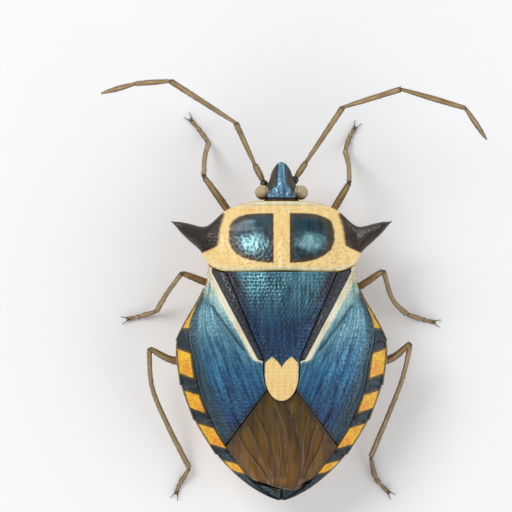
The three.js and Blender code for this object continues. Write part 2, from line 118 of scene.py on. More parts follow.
def route(points: list, t: Array) -> Array:
    """Centripetal Catmull-Rom curve through points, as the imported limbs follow.

    Args:
        points: joints of the limb, as triples.
        t: shares of the way, from 0 to 1.

    Returns:
        One place for each share, as rows of three.
    """
    p = np.array(points, float)
    p = np.vstack([2 * p[0] - p[1], p, 2 * p[-1] - p[-2]])
    spans = len(p) - 3
    at = np.clip(t, 0, 1) * spans
    i = np.minimum(at.astype(int), spans - 1)
    w = (at - i)[:, None]
    a, b, c, d = p[i], p[i + 1], p[i + 2], p[i + 3]
    d0, d1, d2 = (np.linalg.norm(q - r, axis=1)[:, None] ** 0.5 for q, r in ((b, a), (c, b), (d, c)))
    m1 = ((b - a) / d0 - (c - a) / (d0 + d1) + (c - b) / d1) * d1
    m2 = ((c - b) / d1 - (d - b) / (d1 + d2) + (d - c) / d2) * d1
    return b + m1 * w + (-3 * b + 3 * c - 2 * m1 - m2) * w**2 + (2 * b - 2 * c + m1 + m2) * w**3


def chance(i: Array, j: Array, seed: float) -> Array:
    """A repeatable number from 0 to 1 for each cell of a grid."""
    return np.modf(np.abs(np.sin(i * STIR[0] + j * STIR[1] + seed * STIR[2]) * STIR[3]))[0]


@dataclass(frozen=True)
class Fold:
    """A soft ridge across a value, or a groove where its height is below nought."""

    at: float
    width: float
    height: float

    def over(self, value: Array) -> Array:
        """Height of the fold at each value."""
        return self.height * bump(value, self.at, self.width)


@dataclass(frozen=True)
class Oval:
    """An oval in plan: its middle, its half sizes and the height of a rise over it."""

    x: float
    y: float
    half_x: float
    half_y: float
    height: float = 0.0

    def away(self, x: Array, y: Array) -> Array:
        """Distance from the middle, which is 1 on the outline."""
        return np.hypot((x - self.x) / self.half_x, (y - self.y) / self.half_y)

    def bell(self, x: Array, y: Array) -> Array:
        """Height of the soft rise over the oval."""
        return self.height * bump(self.away(x, y), 0, 1)


@dataclass(frozen=True)
class Pits:
    """Punctures on a staggered grid, each strayed from its cell's middle."""

    spacing: tuple
    radius: float
    stray: float
    seed: float
    sink: float
    size_range: tuple = (0.75, 1.2)

    def on(self, x: Array, y: Array) -> Array:
        """Read the punctures at places of a surface.

        Args:
            x: places across, in mm.
            y: places along, in mm.

        Returns:
            Depth at each place, from 0 on the level to 1 at a puncture's bottom.
        """
        depth = np.zeros_like(x)
        wide, long = self.spacing
        column, row = np.floor(x / wide), np.floor(y / long)
        for i in range(-2, 2):
            for j in (-1, 0, 1):
                c, r = column + i, row + j
                px = (c + 0.5 + 0.5 * (r % 2) + self.stray * (chance(c, r, self.seed) - 0.5) * 2) * wide
                py = (r + 0.5 + self.stray * (chance(c, r, self.seed + 1) - 0.5) * 2) * long
                size = self.radius * mix(*self.size_range, chance(c, r, self.seed + 2))
                away = np.hypot(x - px, y - py) / size
                depth = np.maximum(depth, np.clip(1 - away**2, 0, 1))
        return depth


def crowded(count: int, pull: float = 0.6) -> Array:
    """Steps from 0 to 1 that crowd towards both ends."""
    t = np.linspace(0, 1, count + 1)
    return t - pull * np.sin(2 * np.pi * t) / (2 * np.pi)


def unit_grid(counts: tuple, pull_across: float, pull_along: float) -> tuple[Array, Array]:
    """Shares across and along of a grid that crowds towards its borders."""
    return np.meshgrid(crowded(counts[0], pull_across), crowded(counts[1], pull_along))


def around(count: int) -> Array:
    """Angles of an even ring."""
    return np.linspace(0, 2 * np.pi, count + 1)[:-1]


def eased(count: int) -> Array:
    """Shares from 0 to 1 that crowd at both ends."""
    return 0.5 - 0.5 * np.cos(np.linspace(0, np.pi, count))


@dataclass(frozen=True)
class BodyPlan:
    """Outline and heights of the trunk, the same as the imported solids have."""

    collar_y: float = 2.6
    collar_half: float = 2.9
    shoulder_y: float = 4.6
    shoulder_half: float = 4.8
    pronotum_rear: float = 7.05
    widest_y: float = 12.2
    abdomen_half: float = 6.88
    waist: float = 0.29
    tail_y: float = 22.0
    tail_fullness: tuple = (1.8, 0.67)
    scutellum_half: float = 3.6
    tongue_y: float = 12.7
    pronotum_edge: tuple = ((0, 7.05), (3.7, 7.1), (4.8, 6.6), (5.2, 5.85), (6, 5.1), (7.15, 3.98))
    tongue_half: float = 1.15
    scutellum_tip: float = 15.45
    membrane_rear: float = 21.35
    suture: float = 0.05
    edge_depth: float = 0.4
    back_roundness: float = 2.4
    belly_roundness: tuple = (1.5, 2.2)
    clavus_line: tuple = ((7.15, 4.5), (12.85, 1.46), (14.75, 0.98))
    overlap: tuple = (1.35, 2.4)
    back: tuple = ((2.6, 5.95), (4.6, 6.9), (7, 7.5), (11.5, 7.35), (15.5, 6.5), (19, 5.6), (22, 4.75))
    edge: tuple = ((2.6, 5.45), (4.6, 5.85), (7, 5.75), (11.5, 5.5), (15.5, 5.15), (19, 4.85), (22, 4.55))
    belly: tuple = ((2.6, 3.7), (4.6, 2.75), (7, 2.2), (11.5, 1.95), (15.5, 2.3), (19, 3.1), (22, 3.6))

    def half_width(self, y: Array) -> Array:
        """Half-width of the trunk without the shoulder spines.

        Args:
            y: places along.

        Returns:
            Distance from the midline to the side edge.
        """
        front = mix(self.collar_half, self.shoulder_half, np.clip((y - self.collar_y) / 2, 0, 1))
        t = np.clip((self.widest_y - y) / (self.widest_y - self.pronotum_rear), 0, 1)
        side = self.abdomen_half * (1 - self.waist * np.sin(t * np.pi / 2) ** 2)
        t = np.clip((y - self.widest_y) / (self.tail_y - self.widest_y), 0, 1)
        rear = self.abdomen_half * (1 - t**self.tail_fullness[0]) ** self.tail_fullness[1]
        return np.where(y < self.shoulder_y, front, np.where(y < self.widest_y, side, rear))

    def across(self, x: Array, y: Array) -> Array:
        """Share of the way from the midline to the side edge."""
        return np.clip(np.abs(x) / np.maximum(self.half_width(y), 0.3), 0, 1)

    def back_z(self, x: Array, y: Array) -> Array:
        """Height of the back."""
        edge = through(self.edge, y)
        return edge + (through(self.back, y) - edge) * (1 - self.across(x, y) ** self.back_roundness)

    def belly_z(self, x: Array, y: Array) -> Array:
        """Height of the underside, which rounds up to the side edge.

        Args:
            x: places across.
            y: places along.

        Returns:
            Height above the floor.
        """
        top = through(self.edge, y) - self.edge_depth
        power = mix(*self.belly_roundness, smooth(self.pronotum_rear + 0.95, self.widest_y - 0.2, y))
        return top - (top - through(self.belly, y)) * (1 - self.across(x, y) ** power) ** 0.8

    def wing_half(self, y: Array) -> Array:
        """Outer edge of the folded forewing."""
        return self.half_width(y) * (0.97 - 0.15 * smooth(9, 13.5, y) - 0.05 * smooth(14, 20.5, y))

    def scutellum_at(self, y: Array) -> Array:
        """Half-width of the scutellum.

        Args:
            y: places along.

        Returns:
            Distance from the midline to the shield's edge.
        """
        sides = mix(self.scutellum_half, self.tongue_half,
                    (y - self.pronotum_rear) / (self.tongue_y - self.pronotum_rear))
        t = np.clip((y - self.tongue_y) / (self.scutellum_tip - self.tongue_y), 0, 1)
        return np.where(y < self.tongue_y, sides, self.tongue_half * np.sqrt(1 - t**3))

    def corium_inner(self, y: Array) -> Array:
        """Edge between clavus and corium, then on beside the tongue."""
        return np.interp(y, *zip(*self.clavus_line))

    def overlap_x(self, y: Array) -> Array:
        """Inner edge of the upper membrane, which crosses the midline."""
        t = np.clip((y - self.scutellum_tip) / (self.membrane_rear - self.scutellum_tip), 0, 1)
        return -self.overlap[0] * np.sin(t * self.overlap[1])


PLAN = BodyPlan()
AXIS = sum(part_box("scutellum"), Vector()).x / 2 / MM
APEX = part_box("head")[0].y / MM


def to_frame(points: Array) -> Array:
    """Body millimetres as metres of the frame."""
    return (np.asarray(points, float) + (AXIS, APEX, 0)) * MM


# Meshes

@dataclass
class Solid:
    """A closed shell with values painted on its points."""

    points: Array
    faces: list
    marks: Marks = field(default_factory=dict)
    finish: "Finish | None" = None

    def outward(self) -> "Solid":
        """Turn the faces round if they point inwards.

        Returns:
            The same shell.
        """
        corners = [(f[0], f[k], f[k + 1]) for f in self.faces for k in range(1, len(f) - 1)]
        a, b, c = (self.points[[t[k] for t in corners]] for k in range(3))
        if np.einsum("ij,ij->i", a, np.cross(b, c)).sum() < 0:
            self.faces = [f[::-1] for f in self.faces]
        return self

    def mirrored(self) -> "Solid":
        """Make the same shell for the other side.

        Returns:
            A new shell with X turned round.
        """
        flip = np.array([-1, 1, 1])
        marks = {k: v * flip if v.ndim == 2 else v for k, v in self.marks.items()}
        return Solid(self.points * flip, [f[::-1] for f in self.faces], marks, self.finish)


def plate(top: Array, bottom: Array, marks: Marks, finish: "Finish", step: int = 4) -> Solid:
    """Close a fine surface with a coarser one behind it.

    Args:
        top: fine surface as rows of columns of places.
        bottom: far side on the same grid, of which every few rows and columns are kept.
        marks: values on the fine grid.
        finish: what the shell is finished in.
        step: rows and columns of the fine side to one of the far side.

    Returns:
        The closed shell.
    """
    rows, cols = top.shape[:2]
    index = np.arange(rows * cols).reshape(rows, cols)
    quads = np.stack([index[:-1, :-1], index[:-1, 1:], index[1:, 1:], index[1:, :-1]], -1)
    faces = quads.reshape(-1, 4).tolist()
    ring = [(0, j) for j in range(cols - 1)] + [(i, cols - 1) for i in range(rows - 1)]
    ring += [(rows - 1, j) for j in range(cols - 1, 0, -1)] + [(i, 0) for i in range(rows - 1, 0, -1)]
    count = len(ring)
    low = rows * cols + np.arange(count)
    upper = [int(index[r]) for r in ring]
    for k in range(count):
        n = (k + 1) % count
        faces.append([upper[k], int(low[k]), int(low[n]), upper[n]])
    keep_r = sorted({*range(0, rows, step), rows - 1})
    keep_c = sorted({*range(0, cols, step), cols - 1})
    inner = np.array([(min(max(r, 1), rows - 2), min(max(c, 1), cols - 2)) for r in keep_r for c in keep_c])
    base = rows * cols + count
    grid = base + np.arange(len(inner)).reshape(len(keep_r), len(keep_c))
    back = np.stack([grid[:-1, :-1], grid[1:, :-1], grid[1:, 1:], grid[:-1, 1:]], -1)
    faces += back.reshape(-1, 4).tolist()
    stops = [k for k, (i, j) in enumerate(ring) if i in keep_r and j in keep_c
             and (j in (0, cols - 1) or i in (0, rows - 1))]
    spot = {(r, c): int(grid[a, b]) for a, r in enumerate(keep_r) for b, c in enumerate(keep_c)}
    for a, b in zip(stops, stops[1:] + [stops[0] + count]):
        fringe = [int(low[k % count]) for k in range(a, b + 1)]
        faces.append([spot[ring[a]], spot[ring[b % count]]] + fringe[::-1])
    source = np.concatenate([index.ravel(), upper, index[inner[:, 0], inner[:, 1]]]).astype(int)
    points = np.vstack([top.reshape(-1, 3), [bottom[r] for r in ring], bottom[inner[:, 0], inner[:, 1]]])
    values = {k: v.ravel()[source] for k, v in marks.items()}
    if "hem" in values:
        values["hem"][rows * cols:] = OFF_MARK
    return Solid(points, faces, values, finish).outward()


def tube(rings: Array, marks: Marks, finish: "Finish") -> Solid:
    """Join rings into a closed tube with a pole at each end.

    Args:
        rings: one ring of places for each station, as stations of sides of places.
        marks: values on the same grid.
        finish: what the shell is finished in.

    Returns:
        The closed shell.
    """
    count, sides = rings.shape[:2]
    index = np.arange(count * sides).reshape(count, sides)
    turned = np.roll(index, -1, axis=1)
    quads = np.stack([index[:-1], turned[:-1], turned[1:], index[1:]], -1)
    faces = quads.reshape(-1, 4).tolist()
    first, last = count * sides, count * sides + 1
    faces += [[first, int(turned[0, k]), int(index[0, k])] for k in range(sides)]
    faces += [[last, int(index[-1, k]), int(turned[-1, k])] for k in range(sides)]
    points = np.vstack([rings.reshape(-1, 3), rings[0].mean(0), rings[-1].mean(0)])
    poles = [0, (count - 1) * sides]
    full = {}
    for name, value in marks.items():
        flat = value.reshape(count * sides, *value.shape[2:])
        full[name] = np.concatenate([flat, flat[poles]])
    return Solid(points, faces, full, finish).outward()


def normals(points: Array) -> Array:
    """Unit normals of a grid, up where columns run to +X and rows to +Y."""
    n = np.cross(np.gradient(points, axis=1), np.gradient(points, axis=0))
    return n / np.maximum(np.linalg.norm(n, axis=2, keepdims=True), 1e-9)


def edge_distance(points: Array) -> Array:
    """Distance of each place of a grid from its nearest border, along the grid.

    Args:
        points: places as rows of columns.

    Returns:
        The distance at each place.
    """
    across = np.cumsum(np.linalg.norm(np.diff(points, axis=1, prepend=points[:, :1]), axis=2), axis=1)
    along = np.cumsum(np.linalg.norm(np.diff(points, axis=0, prepend=points[:1]), axis=2), axis=0)
    return np.minimum.reduce([across, across[:, -1:] - across, along, along[-1:] - along])


def rounded(points: Array, radius: float) -> Array:
    """Roll the border of a surface down as a quarter round.

    Args:
        points: places as rows of columns.
        radius: radius of the round.

    Returns:
        The rolled surface.
    """
    t = np.clip(edge_distance(points) / radius, 0, 1)
    points = points.copy()
    points[..., 2] -= radius * (1 - np.sqrt(1 - (1 - t) ** 2))
    return points


class Piece:
    """A named Blender object made from one or more shells."""

    def __init__(self, name: str, solids: list[Solid]) -> None:
        """Build the mesh from the shells.

        Args:
            name: the object's name.
            solids: closed shells, each with its own finish.
        """
        starts = np.cumsum([0] + [len(s.points) for s in solids])
        faces = [[k + int(start) for k in f] for s, start in zip(solids, starts) for f in s.faces]
        mesh = bpy.data.meshes.new(name)
        mesh.from_pydata(to_frame(np.vstack([s.points for s in solids])).tolist(), [], faces)
        for mark in sorted({k for s in solids for k in s.marks}):
            shape = next(s.marks[mark].shape[1:] for s in solids if mark in s.marks)
            parts = [s.marks.get(mark, np.zeros((len(s.points), *shape))) for s in solids]
            kind, key = ("FLOAT_VECTOR", "vector") if shape else ("FLOAT", "value")
            layer = mesh.attributes.new(mark, kind, "POINT")
            layer.data.foreach_set(key, np.concatenate(parts).astype(np.float32).ravel())
        finishes = list(dict.fromkeys(s.finish for s in solids))
        for finish in finishes:
            mesh.materials.append(finish.material())
        which = np.repeat([finishes.index(s.finish) for s in solids], [len(s.faces) for s in solids])
        mesh.polygons.foreach_set("material_index", which.astype(np.int32))
        mesh.shade_smooth()
        mesh.validate()
        self.object = bpy.data.objects.new(name, mesh)
        bpy.context.scene.collection.objects.link(self.object)

    def settle(self, slot: str, *nodes: str) -> bpy.types.Object:
        """Ride on the body and stand for the nodes."""
        return settle(self.object, slot, *nodes)


def settle(obj: bpy.types.Object, slot: str, *nodes: str) -> bpy.types.Object:
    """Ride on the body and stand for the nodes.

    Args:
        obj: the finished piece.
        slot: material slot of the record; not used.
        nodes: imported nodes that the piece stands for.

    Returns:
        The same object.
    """
    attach(obj, "root")
    if nodes:
        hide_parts(*nodes)
    LOG.info("%s: %d faces", obj.name, len(obj.data.polygons))
    return obj


# Node trees and finishes

class Graph:
    """A node tree wired by short calls."""

    def __init__(self, tree: bpy.types.NodeTree) -> None:
        """Hold the tree."""
        self.tree = tree

    def node(self, kind: str, inputs: dict | None = None, **settings: object) -> bpy.types.Node:
        """Add a node.

        Args:
            kind: the node's type name.
            inputs: socket name or number to a value or another node's output.
            settings: the node's own properties.

        Returns:
            The new node.
        """
        made = self.tree.nodes.new(kind)
        for key, value in settings.items():
            setattr(made, key, value)
        for key, value in (inputs or {}).items():
            if isinstance(value, bpy.types.NodeSocket):
                self.tree.links.new(value, made.inputs[key])
            else:
                made.inputs[key].default_value = value
        return made

    def math(self, operation: str, *values: object) -> bpy.types.NodeSocket:
        """Output of a Math node on the values."""
        kind = "ShaderNodeMath"
        return self.node(kind, dict(enumerate(values)), operation=operation).outputs[0]

    def vector(self, operation: str, a: object, b: object) -> bpy.types.NodeSocket:
        """Output of a Vector Math node on two values, the second a number for SCALE."""
        inputs = {0: a, "Scale" if operation == "SCALE" else 1: b}
        return self.node("ShaderNodeVectorMath", inputs, operation=operation).outputs[0]

    def blend(self, factor: object, a: object, b: object) -> bpy.types.NodeSocket:
        """Blend of two colours."""
        node = self.node("ShaderNodeMix", {0: factor, 6: a, 7: b}, data_type="RGBA")
        return node.outputs[2]

    def lerp(self, factor: object, a: object, b: object) -> bpy.types.NodeSocket:
        """Blend of two numbers."""
        return self.node("ShaderNodeMix", {0: factor, 2: a, 3: b}, data_type="FLOAT").outputs[0]

    def mark(self, name: str) -> bpy.types.NodeSocket:
        """A value painted on the mesh."""
        return self.node("ShaderNodeAttribute", attribute_name=name).outputs["Fac"]

    def span(self, value: object, low: float, high: float) -> bpy.types.NodeSocket:
        """Ease from 0 at low to 1 at high."""
        inputs = {"Value": value, "From Min": low, "From Max": high}
        return self.node("ShaderNodeMapRange", inputs, interpolation_type="SMOOTHSTEP").outputs[0]

    def noise(self, place: object, scale: float, detail: float = 2) -> bpy.types.NodeSocket:
        """Noise about 0.5 at a place."""
        inputs = {"Vector": place, "Scale": scale, "Detail": detail}
        return self.node("ShaderNodeTexNoise", inputs).outputs["Fac"]


def group(name: str, inputs: dict, outputs: dict, wire: Callable) -> bpy.types.NodeTree:
    """Make a shader node group once.

    Args:
        name: the group's name.
        inputs: socket name to its default number.
        outputs: socket name to its socket type.
        wire: function of the graph, the group input and the group output.

    Returns:
        The node group.
    """
    if name in bpy.data.node_groups:
        return bpy.data.node_groups[name]
    tree = bpy.data.node_groups.new(name, "ShaderNodeTree")
    for key, value in inputs.items():
        socket = tree.interface.new_socket(key, in_out="INPUT", socket_type="NodeSocketFloat")
        socket.default_value = value
    for key, kind in outputs.items():
        tree.interface.new_socket(key, in_out="OUTPUT", socket_type=kind)
    graph = Graph(tree)
    wire(graph, graph.node("NodeGroupInput").outputs, graph.node("NodeGroupOutput"))
    return tree


def paint_edge() -> bpy.types.NodeTree:
    """Group that turns a painted distance into a mask with a slightly uneven edge.

    Returns:
        The node group.
    """

    def wire(g: Graph, given: object, out: bpy.types.Node) -> None:
        """Push the distance about with fine noise and cut it at nought.

        Args:
            g: the group's tree.
            given: the group's inputs.
            out: the group's output node.
        """
        place = g.node("ShaderNodeTexCoord").outputs["Object"]
        ragged = g.math("SUBTRACT", g.noise(place, 3800, 3), 0.5)
        moved = g.math("ADD", given["Distance"], g.math("MULTIPLY", ragged, given["Wobble"]))
        low = g.math("MULTIPLY", given["Softness"], -1.0)
        inputs = {"Value": moved, "From Min": low, "From Max": given["Softness"]}
        eased = g.node("ShaderNodeMapRange", inputs, interpolation_type="SMOOTHSTEP")
        g.tree.links.new(eased.outputs[0], out.inputs["Mask"])

    inputs = {"Distance": 0.0, "Softness": 0.04, "Wobble": 0.1}
    return group("paint edge", inputs, {"Mask": "NodeSocketFloat"}, wire)


def cuticle_grain() -> bpy.types.NodeTree:
    """Group with the streaks in the colour and the fine grain of insect shell.

    Returns:
        The node group.
    """

    def wire(g: Graph, given: object, out: bpy.types.Node) -> None:
        """Stretch one noise along the grain, and lay a finer one over it.

        Args:
            g: the group's tree.
            given: the group's inputs.
            out: the group's output node.
        """
        lengthwise = g.math("MULTIPLY", g.mark("along"), given["Along"])
        sidewise = g.math("MULTIPLY", g.mark("across"), given["Across"])
        flow = g.node("ShaderNodeCombineXYZ", {0: sidewise, 1: lengthwise}).outputs[0]
        place = g.node("ShaderNodeTexCoord").outputs["Object"]
        streak = g.span(g.noise(flow, 1.0, 4), 0.34, 0.66)
        g.tree.links.new(streak, out.inputs["Streak"])
        g.tree.links.new(g.span(g.noise(place, 900, 3), 0.3, 0.7), out.inputs["Cloud"])
        cells = g.node("ShaderNodeTexVoronoi", {"Vector": place, "Scale": 26000.0})
        grain = g.math("MULTIPLY_ADD", cells.outputs["Distance"], 0.5, g.noise(place, 9000, 3))
        g.tree.links.new(grain, out.inputs["Grain"])

    kinds = {"Streak": "NodeSocketFloat", "Cloud": "NodeSocketFloat", "Grain": "NodeSocketFloat"}
    return group("cuticle grain", {"Along": 0.6, "Across": 4.0}, kinds, wire)


def linear(colour: str) -> tuple:
    """Linear colour of a hex word, with full opacity."""
    parts = [int(colour[k:k + 2], 16) / 255 for k in (0, 2, 4)]
    return (*[c / 12.92 if c <= 0.04045 else ((c + 0.055) / 1.055) ** 2.4 for c in parts], 1.0)


@dataclass(frozen=True)
class Pigment:
    """A colour of shell between a deep and a pale shade, with its shine."""

    deep: str
    pale: str
    metal: float = 0.0
    rough: float = 0.38


@dataclass(frozen=True)
class Layer:
    """A pigment laid where a painted mark is above nought."""

    mark: str
    pigment: Pigment
    softness: float = 0.05
    wobble: float = 0.12
    strength: float = 1.0


@dataclass(frozen=True)
class Finish:
    """The finish of a piece of shell: a ground and the layers painted over it."""

    name: str
    ground: Pigment
    layers: tuple[Layer, ...] = ()
    streak: tuple[float, float] = (4.0, 0.6)
    coat: float = 0.25
    grain: float = 0.25
    pit_shade: float = 0.55
    pit_rough: float = 0.2
    pit_colour: str = "0B0D10"
    cloud_share: float = 0.35
    grain_depth: float = 0.00003

    def material(self) -> bpy.types.Material:
        """Make the material, or find it if it is there.

        Returns:
            The material.
        """
        title = f"{self.name} finish"
        if title in bpy.data.materials:
            return bpy.data.materials[title]
        made = bpy.data.materials.new(title)
        made.use_nodes = True
        made.node_tree.nodes.clear()
        g = Graph(made.node_tree)
        flow = dict(zip(("Across", "Along"), self.streak))
        grain = g.node("ShaderNodeGroup", flow, node_tree=cuticle_grain())
        shade = g.lerp(self.cloud_share, grain.outputs["Streak"], grain.outputs["Cloud"])
        colour = g.blend(shade, linear(self.ground.deep), linear(self.ground.pale))
        metal, rough = self.ground.metal, self.ground.rough
        for layer in self.layers:
            cut = {"Distance": g.mark(layer.mark), "Softness": layer.softness, "Wobble": layer.wobble}
            mask = g.node("ShaderNodeGroup", cut, node_tree=paint_edge())
            share = g.math("MULTIPLY", mask.outputs["Mask"], layer.strength)
            over = g.blend(shade, linear(layer.pigment.deep), linear(layer.pigment.pale))
            colour = g.blend(share, colour, over)
            metal = g.lerp(share, metal, layer.pigment.metal)
            rough = g.lerp(share, rough, layer.pigment.rough)
        pit = g.mark("pit")
        colour = g.blend(g.math("MULTIPLY", pit, self.pit_shade), colour, linear(self.pit_colour))
        rough = g.math("MULTIPLY_ADD", pit, self.pit_rough, rough)
        height = g.node("ShaderNodeBump", {"Strength": self.grain, "Distance": self.grain_depth,
                                           "Height": grain.outputs["Grain"]})
        shader = g.node("ShaderNodeBsdfPrincipled", {
            "Base Color": colour, "Metallic": metal, "Roughness": rough, "Coat Weight": self.coat,
            "Coat Roughness": 0.12, "IOR": 1.55, "Normal": height.outputs[0]})
        g.node("ShaderNodeOutputMaterial", {"Surface": shader.outputs[0]})
        return made


OLIVE = Pigment("2A1F0A", "4A3A16", 0.1, 0.42)

PRONOTUM_FINISH = Finish("pronotum shell", Pigment("F2C878", "FBDD98", 0.0, 0.42), (
    Layer("hem", Pigment("54380F", "7E5824"), 0.05, 0.06),
    Layer("hind", Pigment("DCCF98", "F0E8C0"), 0.06, 0.06),
    # Pale band behind the front margin, partly a painted highlight along the rolled front lip.
    Layer("collar", Pigment("C9CDB0", "EDEBD6", 0.1), 0.08, 0.05),
    Layer("spot", OLIVE, 0.05, 0.1),
    Layer("spot_core", Pigment("14222C", "2F5562", 0.45, 0.32), 0.12, 0.3),
    # Painted highlight: a pale teal glint in the middle of each D-shaped spot.
    Layer("spot_glint", Pigment("3F7A86", "9CCFD2", 0.5, 0.28), 0.35, 0.8),
    # A brown band along the edge of the dark shoulder.
    Layer("scorch", Pigment("4A1E0A", "7A4A1C"), 0.1, 0.12),
    Layer("spine", Pigment("1A1208", "362811", 0.1, 0.45), 0.07, 0.12),
), streak=(3.0, 1.2), pit_shade=0.3)
SCUTELLUM_FINISH = Finish("scutellum shell", Pigment("1B4654", "6FB0C0", 0.6, 0.3), (
    Layer("flank", Pigment("14181F", "30343C", 0.3, 0.36), 0.45, 0.5),
    Layer("deep_blue", Pigment("12243A", "27587F", 0.55, 0.32), 0.9, 0.6),
    Layer("tongue", Pigment("F0C474", "FBDD98", 0.0, 0.4), 0.05, 0.1),
), streak=(7.5, 0.5), pit_shade=0.7)
WING_FINISH = Finish("forewing", Pigment("2B6680", "8CC0C8", 0.4, 0.32), (
    Layer("blue", Pigment("17406A", "3F88AE", 0.5, 0.3), 0.7, 1.0),
    Layer("deep_blue", Pigment("141C38", "28507F", 0.45, 0.32), 0.7, 0.9),
    Layer("costal", Pigment("1C2A30", "3A5B66", 0.35, 0.34), 0.35, 0.7, 0.9),
    Layer("pale_veil", Pigment("78B4B8", "CFE0CE", 0.2, 0.34), 0.45, 0.7, 0.85),
    Layer("dark_streak", Pigment("1C3440", "2A5560", 0.35, 0.34), 0.07, 0.12, 0.85),
    Layer("stripe", Pigment("D9CCA0", "F5F0D8", 0.0, 0.4), 0.06, 0.1),
    Layer("rear_edge", Pigment("15181C", "2A3038", 0.3, 0.36), 0.2, 0.3),
), streak=(5.0, 0.45))
CLAVUS_FINISH = Finish("clavus", Pigment("15181F", "363A46", 0.3, 0.36), (
    Layer("hem", Pigment("22201C", "3A352A"), 0.04, 0.05),
), streak=(6.0, 0.6))
MEMBRANE_FINISH = Finish("membrane", Pigment("443009", "6E4F16", 0.35, 0.3), (
    Layer("bronze", Pigment("6A430C", "946414", 0.4, 0.28), 1.4, 0.5, 0.8),
    Layer("vein", Pigment("2A1C08", "4A340F", 0.3, 0.35), 0.05, 0.04, 0.8),
    Layer("smoke", Pigment("1E1A12", "2E2A1C", 0.3, 0.32), 0.35, 0.3, 0.7),
), streak=(4.0, 0.3), coat=0.5, grain=0.15)
RIM_FINISH = Finish("abdomen rim", Pigment("14181C", "2A3330", 0.35, 0.34), (
    # Painted sheen: a blue band down the middle of the black rim.
    Layer("glow", Pigment("16262E", "24485A", 0.45, 0.32), 0.35, 0.4, 0.7),
    # A brown band round each yellow patch.
    Layer("scorch", Pigment("3A2A10", "5E4316"), 0.1, 0.12),
    Layer("hem", Pigment("5E5028", "8C784A"), 0.03, 0.03),
    Layer("patch", Pigment("E09A10", "FBC81E", 0.0, 0.38), 0.05, 0.08),
    Layer("amber", Pigment("E88A08", "F79E0C", 0.0, 0.38), 0.3, 0.2, 0.8),
), streak=(2.0, 2.0))
UNDER_FINISH = Finish("underside", Pigment("B9802E", "E0B060", 0.0, 0.42), (
    Layer("band", Pigment("121A1A", "2B3A36", 0.35, 0.34), 0.1, 0.25),
    Layer("dull", Pigment("4A3C22", "6B5A38", 0.0, 0.75), 0.05, 0.1),
    Layer("spiracle", Pigment("0C0A08", "1E1A14"), 0.02, 0.0),
), streak=(1.5, 1.5))
HEAD_FINISH = Finish("head shell", Pigment("1E4A6A", "7FB4CC", 0.6, 0.3), (
    Layer("lobe", Pigment("221E10", "454028", 0.2, 0.36), 0.1, 0.15),
    Layer("furrow", Pigment("0E0F10", "22241E"), 0.04, 0.03),
    Layer("throat", Pigment("3A2E18", "6E5A30", 0.05, 0.42), 0.1, 0.1),
), streak=(6.0, 0.8))
OCELLUS_FINISH = Finish("ocellus", Pigment("4A1408", "7E2C12", 0.0, 0.12), coat=1.0, grain=0.02)
EYE_FINISH = Finish("eye facets", Pigment("93784A", "DDCDA4", 0.0, 0.22), (
    # Painted shade: brown on the side of each eye towards the tail and the midline.
    Layer("pupil", Pigment("3A2410", "6E4A22", 0.0, 0.2), 0.35, 0.5),
), coat=0.6, grain=0.05)
LIMB_FINISH = Finish("limb", Pigment("553A14", "876632", 0.0, 0.42), (
    Layer("shadow", Pigment("2A1C09", "4A3412", 0.0, 0.42), 0.3, 0.25, 0.9),
    # Painted highlight: a pale line along the top of each limb.
    Layer("ridge", Pigment("9A7A48", "CDB27C", 0.0, 0.4), 0.1, 0.35, 0.65),
    Layer("joint", Pigment("241808", "46300F", 0.0, 0.4), 0.1, 0.1),
), streak=(5.0, 1.2), coat=0.15, grain=0.4)
CLAW_FINISH = Finish("claw", Pigment("1A1008", "3E280F", 0.0, 0.25), coat=0.6, grain=0.05)
PAD_FINISH = Finish("foot pad", Pigment("8A7448", "C4B080", 0.0, 0.6), coat=0.0)
SKIN_FINISH = Finish("joint skin", Pigment("2A2012", "4E3E24", 0.0, 0.6), coat=0.05, grain=0.6)
SETA_FINISH = Finish("setae", Pigment("5A4018", "B89860", 0.0, 0.45), coat=0.1, grain=0.1)


# Back plates

def flow_marks(points: Array) -> Marks:
    """Marks that give the colour streaks their direction across and along the body."""
    return {"across": points[..., 0], "along": points[..., 1]}


